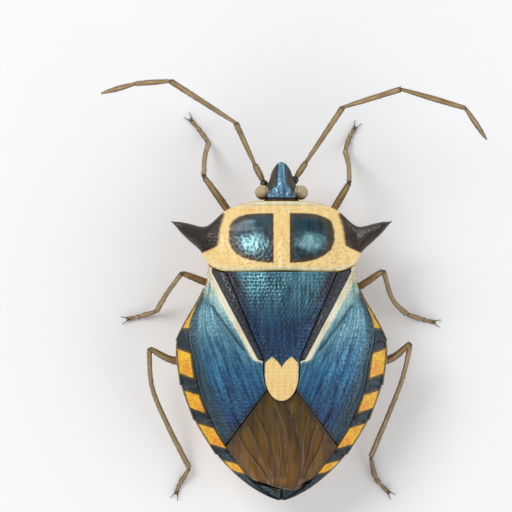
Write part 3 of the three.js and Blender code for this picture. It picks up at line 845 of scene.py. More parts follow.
@dataclass
class Pronotum:
    """The front back plate with its shoulder spines and two D-shaped spots."""

    reach: float = 7.15
    front: tuple = ((0, 2.52), (1.9, 2.6), (3.55, 3.1), (4.85, 4.15), (6, 4), (7.15, 3.72))
    middle_y: float = 4.9
    thickness: float = 0.95
    lip: float = 0.24
    inset: float = 0.03
    spine_root: tuple = (4.1, 5.4)
    spine_from: float = 4.8
    spine_height: float = 5.75
    spine_rise: float = 0.35
    spine_thickness: float = 0.5
    spine_taper: float = 0.6
    tip_length: float = 0.8
    tip_taper: float = 0.8
    tip_narrowing: tuple = (0.7, 0.94)
    collar_groove: Fold = Fold(2.86, 0.12, -0.16)
    collar_end: tuple = (3.2, 3.8)
    callus: Oval = Oval(1.75, 3.72, 0.9375, 0.315, 0.1)
    cross_furrow: Fold = Fold(4.42, 0.34, -0.07)
    furrow_bend: float = 0.01
    furrow_end: tuple = (3.2, 4.2)
    keel: Fold = Fold(0, 0.16, 0.05)
    keel_start: tuple = (4.6, 5.2)
    shoulder: Oval = Oval(4.75, 5.0, 0.5, 0.8, 0.12)
    pits: Pits = Pits((0.3, 0.27), 0.085, 0.36, 3, 0.05)
    pitted_disc: tuple = (4.3, 4.9)
    pitted_band: tuple = ((2.9, 3.1), (3.2, 3.4))
    pits_on_spine: tuple = (0.4, 0.5)
    spot_inner: float = 0.52
    spot_size: tuple = (2.9, 1.6)
    spot_y: float = 4.93
    spot_roundness: tuple = (3.4, 2.3)
    spot_core_inset: float = 0.22
    # Where the painted highlight sits in each D-shaped spot, and how far it reaches.
    glint: Oval = Oval(1.85, 5.2, 1.25, 0.85)
    glint_reach: float = 0.62
    dark_from: tuple = ((3.3, 3.9), (3.4, 3.8), (4.22, 4.06), (5.45, 4.25), (5.62, 4.6), (5.84, 5.1),
                        (6.1, 5.6))
    dark_slope: float = 0.8
    scorch_width: float = 0.1
    # Place, half-width and reach of the collar band, partly a painted highlight.
    collar_line: tuple = (0.19, 0.09, 2.2)
    hind_line: tuple = (-0.2, 0.1, 4.6)
    hem_width: tuple = (0.1, 0.05)
    columns: int = 300
    rows: int = 96

    def outline(self) -> tuple[Array, Array, Array]:
        """Plan of the plate.

        Returns:
            X, Y and the share of the way back.
        """
        u, v = np.meshgrid(crowded(self.columns, 0.35), crowded(self.rows))
        x = (2 * u - 1) * self.reach
        a = np.abs(x)
        near, far = through(self.front, a), through(PLAN.pronotum_edge, a)
        length, share = self.tip_narrowing
        point = np.sqrt(1 - smooth(self.reach - length, self.reach, a) * share)
        middle, half = (near + far) / 2, (far - near) / 2 * point
        return x, middle + half * (2 * v - 1), v

    def relief(self, x: Array, y: Array) -> Array:
        """Folds and swellings of the disc.

        Args:
            x: places across.
            y: places along.

        Returns:
            Height above the plain dome.
        """
        a = np.abs(x)
        height = self.collar_groove.over(y) * (1 - smooth(*self.collar_end, a))
        height += self.callus.bell(a, y)
        height += self.cross_furrow.over(y - self.furrow_bend * x**2) * (1 - smooth(*self.furrow_end, a))
        height += self.keel.over(x) * smooth(*self.keel_start, y)
        return height + self.shoulder.bell(a, y)

    def surfaces(self) -> tuple[Array, Array, Array]:
        """Upper and lower surface of the plate.

        Returns:
            Both surfaces and the depth of the punctures.
        """
        x, y, v = self.outline()
        a = np.abs(x)
        spine = smooth(*self.spine_root, a)
        beyond = smooth(self.spine_from, self.reach, a)
        taper = self.spine_thickness * (1 - self.spine_taper * beyond)
        taper = taper * (1 - self.tip_taper * smooth(self.reach - self.tip_length, self.reach, a))
        middle = self.spine_height + self.spine_rise * beyond
        bulge = np.sqrt(1 - (0.96 * (2 * v - 1)) ** 2)
        dome = PLAN.back_z(x, y)
        height = mix(dome + self.relief(x, y), middle + taper * bulge, spine)
        top = rounded(np.stack([x, y, height], -1), self.lip)
        start, end = self.pitted_band
        rough = smooth(*self.pitted_disc, y) + smooth(*start, y) * (1 - smooth(*end, y))
        depth = self.pits.on(x, y) * np.clip(rough + spine, 0, 1)
        fewer, shallower = self.pits_on_spine
        depth *= smooth(0.08, 0.25, edge_distance(top)) * (1 - fewer * spine)
        top -= normals(top) * (self.pits.sink * depth * (1 - shallower * spine))[..., None]
        low = mix(dome - self.thickness, middle - taper * bulge, spine)
        inset = 1 - self.inset * (1 - spine)
        low = np.minimum(low, top[..., 2] - THINNEST)
        return top, np.stack([x * inset, self.middle_y + (y - self.middle_y) * inset, low], -1), depth

    def paint(self, top: Array, depth: Array) -> Marks:
        """Signed distances of the colours, painted highlights among them, in mm.

        Args:
            top: upper surface.
            depth: depth of the punctures.

        Returns:
            The marks of the plate.
        """
        x, y = top[..., 0], top[..., 1]
        a = np.abs(x)
        ex, ey = (a - self.spot_inner) / self.spot_size[0], np.abs(y - self.spot_y) / self.spot_size[1]
        power = np.where(y < self.spot_y, *self.spot_roundness)
        oval = (1 - (np.maximum(ex, 0) ** power + ey**power) ** (1 / power)) * 1.5
        spot = np.minimum(oval, a - self.spot_inner)
        dark = (a - np.interp(y, *zip(*self.dark_from))) * self.dark_slope
        lines = {}
        # The collar band is a pale band that is partly a painted highlight on the front lip; the hind band
        # is a pale margin.
        for name, edge, (place, half, end) in (
                ("collar", through(self.front, a), self.collar_line),
                ("hind", through(PLAN.pronotum_edge, a), self.hind_line)):
            lines[name] = np.minimum(half - np.abs(y - edge - place), (end - a) * 0.1)
        return {
            **flow_marks(top), "pit": depth * 0.8, "spot": spot, "spot_core": spot - self.spot_core_inset,
            # Painted highlight in the middle of each spot.
            "spot_glint": np.minimum(self.glint_reach - self.glint.away(a, y), spot - 0.3),
            "hem": mix(*self.hem_width, smooth(3.2, 5, y)) - edge_distance(top),
            "spine": dark, "scorch": dark + self.scorch_width, **lines,
        }

    def build(self) -> None:
        """Make the plate."""
        top, low, depth = self.surfaces()
        solid = plate(top, low, self.paint(top, depth), PRONOTUM_FINISH)
        Piece("pronotum_shell", [solid]).settle("pronotum_shell", "pronotum")


@dataclass
class Scutellum:
    """The long shield from the pronotum to the middle of the back."""

    rise: float = 0.12
    thickness: float = 0.6
    lip: float = 0.14
    front_gap: float = 0.06
    hump: Oval = Oval(0, 8.6, 2.2, 1.3, 0.16)
    keel: Fold = Fold(0, 0.22, 0.06)
    keel_start: tuple = (8, 9)
    side_groove: Fold = Fold(-0.35, 0.14, -0.1)
    groove_end: tuple = (12, 12.8)
    neck: Fold = Fold(12.75, 0.3, -0.05)
    pits: Pits = Pits((0.26, 0.24), 0.095, 0.14, 5, 0.055)
    pit_fan: float = 0.02
    pits_on_tongue: float = 0.25
    flank_width: float = 0.75
    flank_closes: float = 10.9
    deep_from: float = 9.2
    tongue_front: float = 13.35
    notch_depth: float = 0.75
    notch_half: float = 0.62
    tongue_border: float = 0.08
    columns: int = 150
    rows: int = 180

    def build(self) -> None:
        """Make the plate with its rows of punctures and its pale tongue."""
        u, v = np.meshgrid(crowded(self.columns, 0.5), crowded(self.rows, 0.5))
        y = mix(PLAN.pronotum_rear + self.front_gap, PLAN.scutellum_tip, v)
        half = PLAN.scutellum_at(y)
        x = (2 * u - 1) * np.maximum(half, 0.02)
        relief = self.hump.bell(x, y) + self.keel.over(x) * smooth(*self.keel_start, y)
        relief += self.side_groove.over(np.abs(x) - half) * (1 - smooth(*self.groove_end, y))
        relief += self.neck.over(y)
        top = rounded(np.stack([x, y, PLAN.back_z(x, y) + self.rise + relief], -1), self.lip)
        tongue = self.tongue(x, y)
        depth = self.pits.on(x * (1 + self.pit_fan * (y - 7)), y) * smooth(0.06, 0.2, edge_distance(top))
        depth *= 1 - (1 - self.pits_on_tongue) * smooth(-0.1, 0.2, tongue)
        top -= normals(top) * (self.pits.sink * depth)[..., None]
        low = np.stack([x, y, PLAN.back_z(x, y) - self.thickness], -1)
        flank = np.abs(x) - half + self.flank_width
        marks = {
            **flow_marks(top), "pit": depth, "flank": np.maximum(flank, (y - self.flank_closes) * 0.6),
            "deep_blue": (y - self.deep_from) * 0.5, "tongue": tongue,
        }
        solid = plate(top, low, marks, SCUTELLUM_FINISH)
        Piece("scutellum_shell", [solid]).settle("scutellum_shell", "scutellum")

    def tongue(self, x: Array, y: Array) -> Array:
        """The pale heart at the shield's rear.

        Args:
            x: places across.
            y: places along.

        Returns:
            Distance inside the heart.
        """
        lobe = np.clip(1 - np.abs(np.abs(x) - self.notch_half) / self.notch_half, 0, 1) ** 0.6
        front = self.tongue_front - self.notch_depth * lobe
        return np.minimum(y - front, PLAN.tongue_half - self.tongue_border - np.abs(x))


@dataclass
class Forewing:
    """One folded forewing: clavus, corium and membrane."""

    side: Side
    thickness: float = 0.45
    front_gap: float = 0.06
    outer_rear: float = 18.4
    inner_rear: float = 14.75
    clavus_grid: tuple = (36, 150)
    clavus_front: tuple = (3.65, 4.45)
    clavus_rear: float = 12.75
    clavus_lip: float = 0.09
    clavus_ridge: Fold = Fold(0.5, 0.2, 0.07)
    clavus_slant: float = 0.53
    clavus_pits: Pits = Pits((0.26, 0.22), 0.08, 0.2, 11, 0.045)
    corium_grid: tuple = (110, 250)
    corium_front: tuple = (4.5, 4.75)
    corium_lip: float = 0.1
    inner_vein: Fold = Fold(0.33, 0.018, 0.07)
    outer_vein: Fold = Fold(0.62, 0.018, 0.08)
    corium_fold: Fold = Fold(0.56, 0.03, -0.05)
    vein_slant: tuple = (0.1, 0.06)
    costal_rise: float = 0.06
    corium_pits: Pits = Pits((0.27, 0.25), 0.078, 0.3, 17, 0.04)
    pit_columns: float = 5.2
    stripe_width: tuple = (0.55, 0.34)
    veil_width: tuple = (1.5, 0.35)
    costal_width: tuple = (0.45, 0.95)
    streak_at: tuple = (1.2, 0.5)
    streak_half: float = 0.11
    blue_from: tuple = (11.6, 2.2)
    deep_from: float = 15.2
    rear_line: float = 0.22
    membrane_grid: tuple = (130, 130)
    membrane_lip: float = 0.07
    membrane_gap: float = 0.08
    membrane_corner: float = 0.98
    vein_starts: tuple = (0.18, 0.34, 0.5, 0.66, 0.82)
    vein_width: float = 0.05
    vein_height: float = 0.045
    bronze_from: float = 18.6

    def settle(self, name: str, solid: Solid, slot: str) -> None:
        """Make the piece on its own side.

        Args:
            name: the plate's name.
            solid: its shell, as on the left side.
            slot: material slot of the record.
        """
        made = solid if self.side is Side.LEFT else solid.mirrored()
        label = f"{name}_{self.side.label}"
        Piece(f"{label}_shell", [made]).settle(slot, label)

    def clavus(self) -> None:
        """The dark strip along the scutellum."""
        u, v = unit_grid(self.clavus_grid, 0.4, 0.5)
        front = through(PLAN.pronotum_edge, mix(*self.clavus_front, u)) + self.front_gap
        y = mix(front, self.clavus_rear, v)
        x = mix(PLAN.scutellum_at(y) + PLAN.suture, PLAN.corium_inner(y) - PLAN.suture / 2, u)
        height = PLAN.back_z(x, y) + self.clavus_ridge.over(u)
        top = rounded(np.stack([x, y, height], -1), self.clavus_lip)
        along = x + self.clavus_slant * y
        depth = self.clavus_pits.on(along, y) * smooth(0.05, 0.16, edge_distance(top))
        top -= normals(top) * (self.clavus_pits.sink * depth)[..., None]
        low = top - (0, 0, self.thickness)
        marks = {"across": along, "along": y, "pit": depth, "hem": 0.05 - edge_distance(top)}
        self.settle("clavus", plate(top, low, marks, CLAVUS_FINISH), "forewing")

    def corium(self) -> None:
        """The leathery main field, blue with a pale stripe along its inner edge."""
        u, v = unit_grid(self.corium_grid, 0.45, 0.45)
        front = through(PLAN.pronotum_edge, mix(*self.corium_front, u)) + self.front_gap
        inner_y, outer_y = mix(front, self.inner_rear, v), mix(front, self.outer_rear, v)
        beside = PLAN.scutellum_at(inner_y) + PLAN.suture
        straight, outer = PLAN.corium_inner(inner_y), PLAN.wing_half(outer_y)
        inner = mix(np.maximum(straight, beside), beside, smooth(12.76, 12.9, inner_y))
        x, y = mix(inner, outer, u), mix(inner_y, outer_y, u)
        slant, outer_slant = self.vein_slant
        veins = self.inner_vein.over(u - slant * v) + self.outer_vein.over(u - outer_slant * v)
        veins *= smooth(0.02, 0.12, v) * (1 - smooth(0.8, 0.95, v))
        fold = self.corium_fold.over(u - outer_slant * v) + self.costal_rise * smooth(0.93, 0.98, u)
        top = rounded(np.stack([x, y, PLAN.back_z(x, y) + veins + fold], -1), self.corium_lip)
        depth = self.corium_pits.on(u * self.pit_columns, y) * smooth(0.06, 0.2, edge_distance(top))
        depth *= mix(0.55, 1, smooth(0.2, 0.5, u))
        top -= normals(top) * (self.corium_pits.sink * depth)[..., None]
        grain = self.pit_columns * (x - straight) / (outer - straight)
        marks = {"across": grain, "along": y, "pit": depth * 0.8, **self.paint(top, y, u, v)}
        self.settle("corium", plate(top, top - (0, 0, self.thickness), marks, WING_FINISH), "forewing")

    def paint(self, top: Array, y: Array, u: Array, v: Array) -> Marks:
        """Signed distances of the corium's colours, in mm.

        Args:
            top: upper surface.
            y: places along, before the rim is rolled.
            u: share of the way out.
            v: share of the way back.

        Returns:
            The marks of the colours.
        """
        inside = u * np.linalg.norm(top[:, -1:] - top[:, :1], axis=2)
        outside = inside[:, -1:] - inside
        streak = mix(*self.streak_at, np.clip((y - 8.8) / 3.8, 0, 1))
        streak_ends = 0.6 * smooth(12, 13, y) + 0.6 * (1 - smooth(8.6, 9.4, y))
        return {
            "stripe": mix(*self.stripe_width, smooth(0, 0.6, v)) - inside - 0.8 * smooth(12.7, 13.4, y),
            "pale_veil": mix(*self.veil_width, smooth(0, 0.5, v)) - inside - 0.6 * smooth(12.5, 13.5, y),
            "blue": (y - self.blue_from[0]) * 0.3 + (inside - self.blue_from[1]) * 0.1,
            "deep_blue": (y - self.deep_from) * 0.35, "costal": mix(*self.costal_width, v) - outside,
            "dark_streak": self.streak_half - np.abs(inside - streak) - streak_ends,
            "rear_edge": self.rear_line - np.linalg.norm(top[-1:] - top, axis=2),
        }

    def membrane_plan(self) -> tuple[Array, Array, Array, Array]:
        """Plan of the membrane, from the corium's rear edge to the tail.

        Returns:
            X and Y on the grid, and the shares of the way out and back.
        """
        u, v = unit_grid(self.membrane_grid, 0.5, 0.5)
        front, rear = PLAN.scutellum_tip + 0.04, PLAN.membrane_rear
        seam_y = mix(front, rear, v)
        inner = PLAN.overlap_x(seam_y)
        if self.side is Side.RIGHT:
            inner = -inner - 1.3 * np.sin(np.pi * v)
        outer_front = self.outer_rear + self.membrane_gap
        outer_y = mix(outer_front, rear - 0.2, v)
        x = mix(inner, PLAN.wing_half(outer_y), u)
        width, corner = float(PLAN.wing_half(np.array(self.outer_rear))), self.membrane_corner
        front_x = u * width
        near = front + (self.inner_rear + self.membrane_gap - PLAN.scutellum_tip) * (front_x / corner) ** 1.6
        slope = (self.outer_rear - self.inner_rear) / (width - corner)
        far = self.inner_rear + 0.06 + slope * (front_x - corner)
        bulge = mix(front, outer_front, u) - np.where(front_x < corner, near, far)
        y = mix(seam_y, outer_y, u) - bulge * (1 - v) - 0.5 * (u * v**4) ** 2
        return x, y, u, v

    def membrane(self) -> None:
        """The thin bronze end of the wing, whose upper one laps over the lower."""
        x, y, u, v = self.membrane_plan()
        upper = self.side is Side.LEFT
        lift = 0.05 if upper else -0.09 * (1 - smooth(0.15, 0.5, u))
        span = np.abs(x[:, -1:] - x[:, :1])
        veins, vein_mark = np.zeros_like(u), np.full_like(u, -1.0)
        for k, start in enumerate(self.vein_starts):
            line = mix(start, 0.5 + (start - 0.5) * 0.55, v**1.4) + 0.012 * np.sin(9 * v + k)
            veins = np.maximum(veins, bump(u * span, line * span, self.vein_width))
            vein_mark = np.maximum(vein_mark, 1.4 * self.vein_width - np.abs(u - line) * span)
        reach = smooth(0.04, 0.12, v) * (1 - smooth(0.86, 0.97, v))
        ripple = 0.02 * np.sin(6 * x + 2 * y) * bump(v, 0.6, 0.4)
        z = PLAN.back_z(x, y) + lift + self.vein_height * veins * reach + ripple
        top = rounded(np.stack([x, y, z], -1), self.membrane_lip)
        low = top - (0, 0, 0.12 if upper else 0.3)
        marks = {**flow_marks(top), "pit": np.zeros_like(x), "vein": vein_mark - (1 - reach),
                 "bronze": (y - self.bronze_from) * 0.6, "smoke": 0.3 - edge_distance(top)}
        self.settle("membrane", plate(top, low, marks, MEMBRANE_FINISH), "membrane")

    def build(self) -> None:
        """Make the three plates."""
        self.clavus()
        self.corium()
        self.membrane()


@dataclass
class Connexivum:
    """The abdomen's flat side rim with its yellow patches."""

    side: Side
    front: float = 8.2
    rear: float = 21.97
    closes: tuple = (20.85, 21.25)
    seams: tuple = (11.55, 14.5, 16.75, 18.98)
    segment_reach: float = 1.6
    scallop: float = 0.09
    overlap: float = 0.07
    seam_groove: Fold = Fold(0.04, 0.05, -0.06)
    outer_lip: float = 0.07
    under_wing: float = 0.2
    lip: float = 0.14
    thickness: tuple = (0.4, 0.3)
    front_taper: tuple = (0.15, 10.2)
    pits: Pits = Pits((0.24, 0.22), 0.07, 0.35, 23, 0.035)
    patches: tuple = ((8.0, 10.75), (12.3, 13.85), (15.0, 16.1), (17.15, 18.45), (19.55, 20.2))
    patch_slant: float = 0.35
    patch_border: float = 0.13
    patch_width: float = 0.95
    scorch_width: float = 0.14
    hem_width: float = 0.05
    columns: int = 44
    rows: int = 330

    def paint(self, away: Array, y: Array) -> Marks:
        """Signed distances of the colours, in mm.

        Args:
            away: distance from the outer edge.
            y: places along.

        Returns:
            The marks of the patches, the brown band round them, the painted sheen and the rim's lines.
        """
        patch, amber = np.full_like(y, -1.0), np.full_like(y, -1.0)
        for k, (near, far) in enumerate(self.patches):
            slant = self.patch_slant * (away - 0.6) if k else 0.0
            inside = np.minimum(y - slant - near, far - y + slant)
            width = self.patch_width if k else 0.1 + 0.55 * (y - near)
            patch = np.maximum(patch, np.minimum(inside, np.minimum(away - self.patch_border, width - away)))
            inner_rear = np.minimum(away - 0.4, (y - (near + far) / 2) * 0.7)
            amber = np.maximum(amber, np.minimum(patch * 6 - 0.25, inner_rear))
        # The blue band down the rim's middle is a painted sheen.
        return {"patch": patch, "amber": amber, "glow": 0.25 - np.abs(away - 0.55),
                "scorch": patch + self.scorch_width, "hem": self.hem_width - away}

    def build(self) -> None:
        """Make the rim with its segments, each edge standing a little proud."""
        u, v = np.meshgrid(crowded(self.columns, 0.4), np.linspace(0, 1, self.rows + 1))
        y = mix(self.front, self.rear, v)
        outer = PLAN.half_width(y) - 0.02
        step = np.zeros_like(y)
        for seam in self.seams:
            before = np.clip((y - seam) / self.segment_reach + 1, 0, 1) * (y < seam)
            outer = outer + self.scallop * before**3
            step += self.overlap * before**2 + self.seam_groove.over(y - seam)
        inner = np.minimum(PLAN.wing_half(y) - 0.25, outer - 0.12)
        x = mix(mix(inner, 0.015, smooth(*self.closes, y)), outer, u)
        z = PLAN.back_z(np.minimum(x, PLAN.half_width(y)), y) - 0.1 * (1 - smooth(0, 0.3, u))
        z += step * smooth(0.15, 0.4, u) + self.outer_lip * smooth(0.82, 0.93, u)
        z -= self.under_wing * smooth(-0.02, 0.1, PLAN.wing_half(y) - x)
        top = rounded(np.stack([x, y, z], -1), self.lip)
        depth = self.pits.on(x, y) * smooth(0.08, 0.2, edge_distance(top))
        top -= normals(top) * (self.pits.sink * depth)[..., None]
        marks = {**flow_marks(top), "pit": depth * 0.6, **self.paint(outer - x, y)}
        thinnest, full_from = self.front_taper
        low = top.copy()
        low[..., 2] -= mix(*self.thickness, u) * mix(thinnest, 1, smooth(self.front, full_from, y))
        solid = plate(top, low, marks, RIM_FINISH)
        made = solid if self.side is Side.LEFT else solid.mirrored()
        Piece(f"connexivum_{self.side.label}_shell", [made]).settle("rim", f"connexivum_{self.side.label}")


# Underside

@dataclass
class Trunk:
    """Thorax and abdomen seen from the side and from below."""

    inset: float = 0.12
    abdomen_reach: tuple = (11.3, 21.9)
    abdomen_grid: tuple = (210, 210)
    abdomen_cover: float = 0.55
    abdomen_pits: Pits = Pits((0.3, 0.28), 0.07, 0.4, 29, 0.03)
    sternite_seams: tuple = (12.0, 13.6, 15.2, 16.9, 18.7, 20.3)
    sternite_bend: tuple = (0.55, 0.3)
    sternite_overlap: tuple = (0.06, 1.5)
    sternite_groove: Fold = Fold(-0.03, 0.05, -0.05)
    spiracle_at: tuple = (0.74, 0.85, 0.09)
    tail_dark: Fold = Fold(21.6, 1.0, 0.55)
    middle_spots: tuple = (12.9, 1.65, 0.3)
    thorax_reach: tuple = (2.75, 11.6)
    thorax_grid: tuple = (180, 220)
    thorax_cover: float = 0.75
    thorax_pits: Pits = Pits((0.3, 0.28), 0.085, 0.38, 31, 0.045)
    pleuron_seams: tuple = (6.7, 9.2)
    pleuron_slant: float = 0.35
    beak_groove: Fold = Fold(0, 0.42, 0.22)
    pleuron_groove: Fold = Fold(0, 0.08, 0.09)
    hips: tuple = (4.9, 8.5, 11.0)
    hip_x: float = 1.75
    hip_hollow: Fold = Fold(0, 0.62, 0.35)
    hip_ring: Fold = Fold(0.85, 0.16, -0.12)
    gland_ear: Oval = Oval(2.95, 9.75, 0.6, 0.16, 1.0)
    gland_rise: float = 0.14
    gland_mouth: Oval = Oval(2.35, 9.7, 0.12, 0.12, 0.1)
    mouth_radius: float = 0.09
    dull_field: Oval = Oval(3.2, 9.75, 1.35, 0.95)
    dull_reach: float = 0.75
    rear_patch: Oval = Oval(4.2, 8.2, 1.4, 1.1)
    front_patch: Oval = Oval(3.2, 4.9, 1.2, 1.0)
    neck_reach: tuple = (1.7, 4.4)
    neck_wide: tuple = (1.05, 2.2)
    neck_tall: tuple = (0.7, 1.25)
    neck_height: tuple = (4.85, 4.75)
    neck_grid: tuple = (40, 48)

    def sheet(self, reach: tuple, grid: tuple) -> tuple[Array, Array]:
        """Plan of a stretch of the belly, with columns crowding to the flanks.

        Args:
            reach: front and rear station.
            grid: steps along and across.

        Returns:
            X and Y on the grid.
        """
        u, v = np.meshgrid(np.linspace(-1, 1, grid[1] + 1), crowded(grid[0], 0.3))
        y = mix(*reach, v)
        wide = np.maximum(PLAN.half_width(y) - self.inset, 0.1) * (0.84 + 0.16 * smooth(2.7, 3.7, y))
        return np.sin(u * np.pi / 2) * wide, y

    def close(self, low: Array, marks: Marks, cover: float) -> Solid:
        """Close the belly with a plain deck under the back plates.

        Args:
            low: the belly's surface.
            marks: values on it.
            cover: depth of the deck below the back.

        Returns:
            The closed shell.
        """
        deck = low.copy()
        x, y = low[..., 0], low[..., 1]
        deck[..., 2] = np.maximum(PLAN.back_z(x, y) - cover, low[..., 2] + 0.05)
        return plate(low, deck, marks, UNDER_FINISH)

    def abdomen(self) -> None:
        """Sternites with their overlapping edges and spiracles."""
        x, y = self.sheet(self.abdomen_reach, self.abdomen_grid)
        a, half = PLAN.across(x, y), PLAN.half_width(y)
        middle_bend, side_bend = self.sternite_bend
        bend = y - middle_bend * (1 - a**2) * smooth(12, 14, y) + side_bend * a**2
        height, reach = self.sternite_overlap
        share, ahead, radius = self.spiracle_at
        step, spiracle, band = np.zeros_like(x), np.full_like(x, -1.0), np.full_like(x, -1.0)
        for k, seam in enumerate(self.sternite_seams):
            gap = seam - bend
            step += height * np.clip(1 - gap / reach, 0, 1) ** 2 * (gap > 0) + self.sternite_groove.over(gap)
            band = np.maximum(band, 0.28 * a**3 + 0.04 - np.abs(gap + 0.02))
            if k:
                away = np.hypot((a - share) * half, (bend - seam + ahead) / 1.3)
                spiracle = np.maximum(spiracle, radius - away)
        z = PLAN.belly_z(x, y) - step * smooth(0, 0.15, 1 - a) + 0.05 * smooth(0, 0.05, spiracle)
        first, pitch, size = self.middle_spots
        spots = size - np.hypot(x / 0.9, ((bend - first) % pitch - 0.82) / 1.2)
        band = np.maximum.reduce([band, self.tail_dark.over(y) - 0.3, np.where(y > 12.2, spots, -1.0)])
        low = np.stack([x, y, z], -1)
        depth = self.abdomen_pits.on(x, y) * smooth(0.1, 0.3, 1 - a) * (spiracle < -0.1)
        low += normals(low) * (self.abdomen_pits.sink * depth)[..., None]
        marks = {**flow_marks(low), "pit": depth * 0.6, "band": band, "spiracle": spiracle,
                 "dull": np.full_like(x, -1.0)}
        Piece("abdomen_shell", [self.close(low, marks, self.abdomen_cover)]).settle("underside", "abdomen")

    def thorax(self) -> None:
        """Side plates, hip sockets and scent gland."""
        x, y = self.sheet(self.thorax_reach, self.thorax_grid)
        side, a = np.abs(x), PLAN.across(x, y)
        slanted = y - self.pleuron_slant * a
        z = PLAN.belly_z(x, y) + self.beak_groove.over(x)
        for seam in self.pleuron_seams:
            z += self.pleuron_groove.over(slanted - seam) * smooth(0.25, 0.4, a)
        for hip_y in self.hips:
            ring = np.hypot(side - self.hip_x, y - hip_y)
            z += self.hip_hollow.over(ring) + self.hip_ring.over(ring)
        gland = self.gland_ear.bell(side, y - 0.1 * (side - 3))
        z += self.gland_mouth.bell(side, y) - self.gland_rise * gland
        low = np.stack([x, y, np.minimum(z, PLAN.back_z(x, y) - 0.9)], -1)
        dull = self.dull_reach - self.dull_field.away(side, y)
        depth = self.thorax_pits.on(x, y) * (dull < 0) * smooth(0.2, 0.35, a)
        low += normals(low) * (self.thorax_pits.sink * depth)[..., None]
        band = np.maximum.reduce([0.14 - np.abs(slanted - seam) for seam in self.pleuron_seams]) - (a < 0.3)
        patches = [0.4 - self.rear_patch.away(side, y), 0.35 - self.front_patch.away(side, y)]
        mouth = self.mouth_radius - np.hypot(side - self.gland_mouth.x, y - self.gland_mouth.y)
        marks = {**flow_marks(low), "pit": depth * 0.7, "dull": dull * 0.7 - gland,
                 "band": np.maximum.reduce([band, *patches]), "spiracle": mouth}
        Piece("thorax_shell", [self.close(low, marks, self.thorax_cover)]).settle("underside", "thorax")

    def neck(self) -> None:
        """Joint skin between head and thorax, and the dark core seen down the sutures."""
        rows, sides = self.neck_grid
        steps = np.linspace(0, 1, rows)
        turn = around(sides)
        y = mix(*self.neck_reach, steps)
        swell = np.sqrt(np.clip(1 - (2 * steps - 1) ** 8, 0.001, 1)) * (1 + 0.02 * np.sin(steps * 60))
        wide = mix(*self.neck_wide, smooth(2.3, 3.4, y)) * swell
        tall = mix(*self.neck_tall, smooth(2.3, 3.6, y)) * swell
        height = mix(*self.neck_height, steps)[:, None] + np.outer(tall, np.sin(turn))
        rings = np.stack([np.outer(wide, np.cos(turn)), np.repeat(y[:, None], sides, 1), height], -1)
        Piece("neck_skin", [tube(rings, flow_marks(rings), SKIN_FINISH)]).settle("underside")

    def build(self) -> None:
        """Make the trunk's pieces."""
        self.abdomen()
        self.thorax()
        self.neck()


# Head

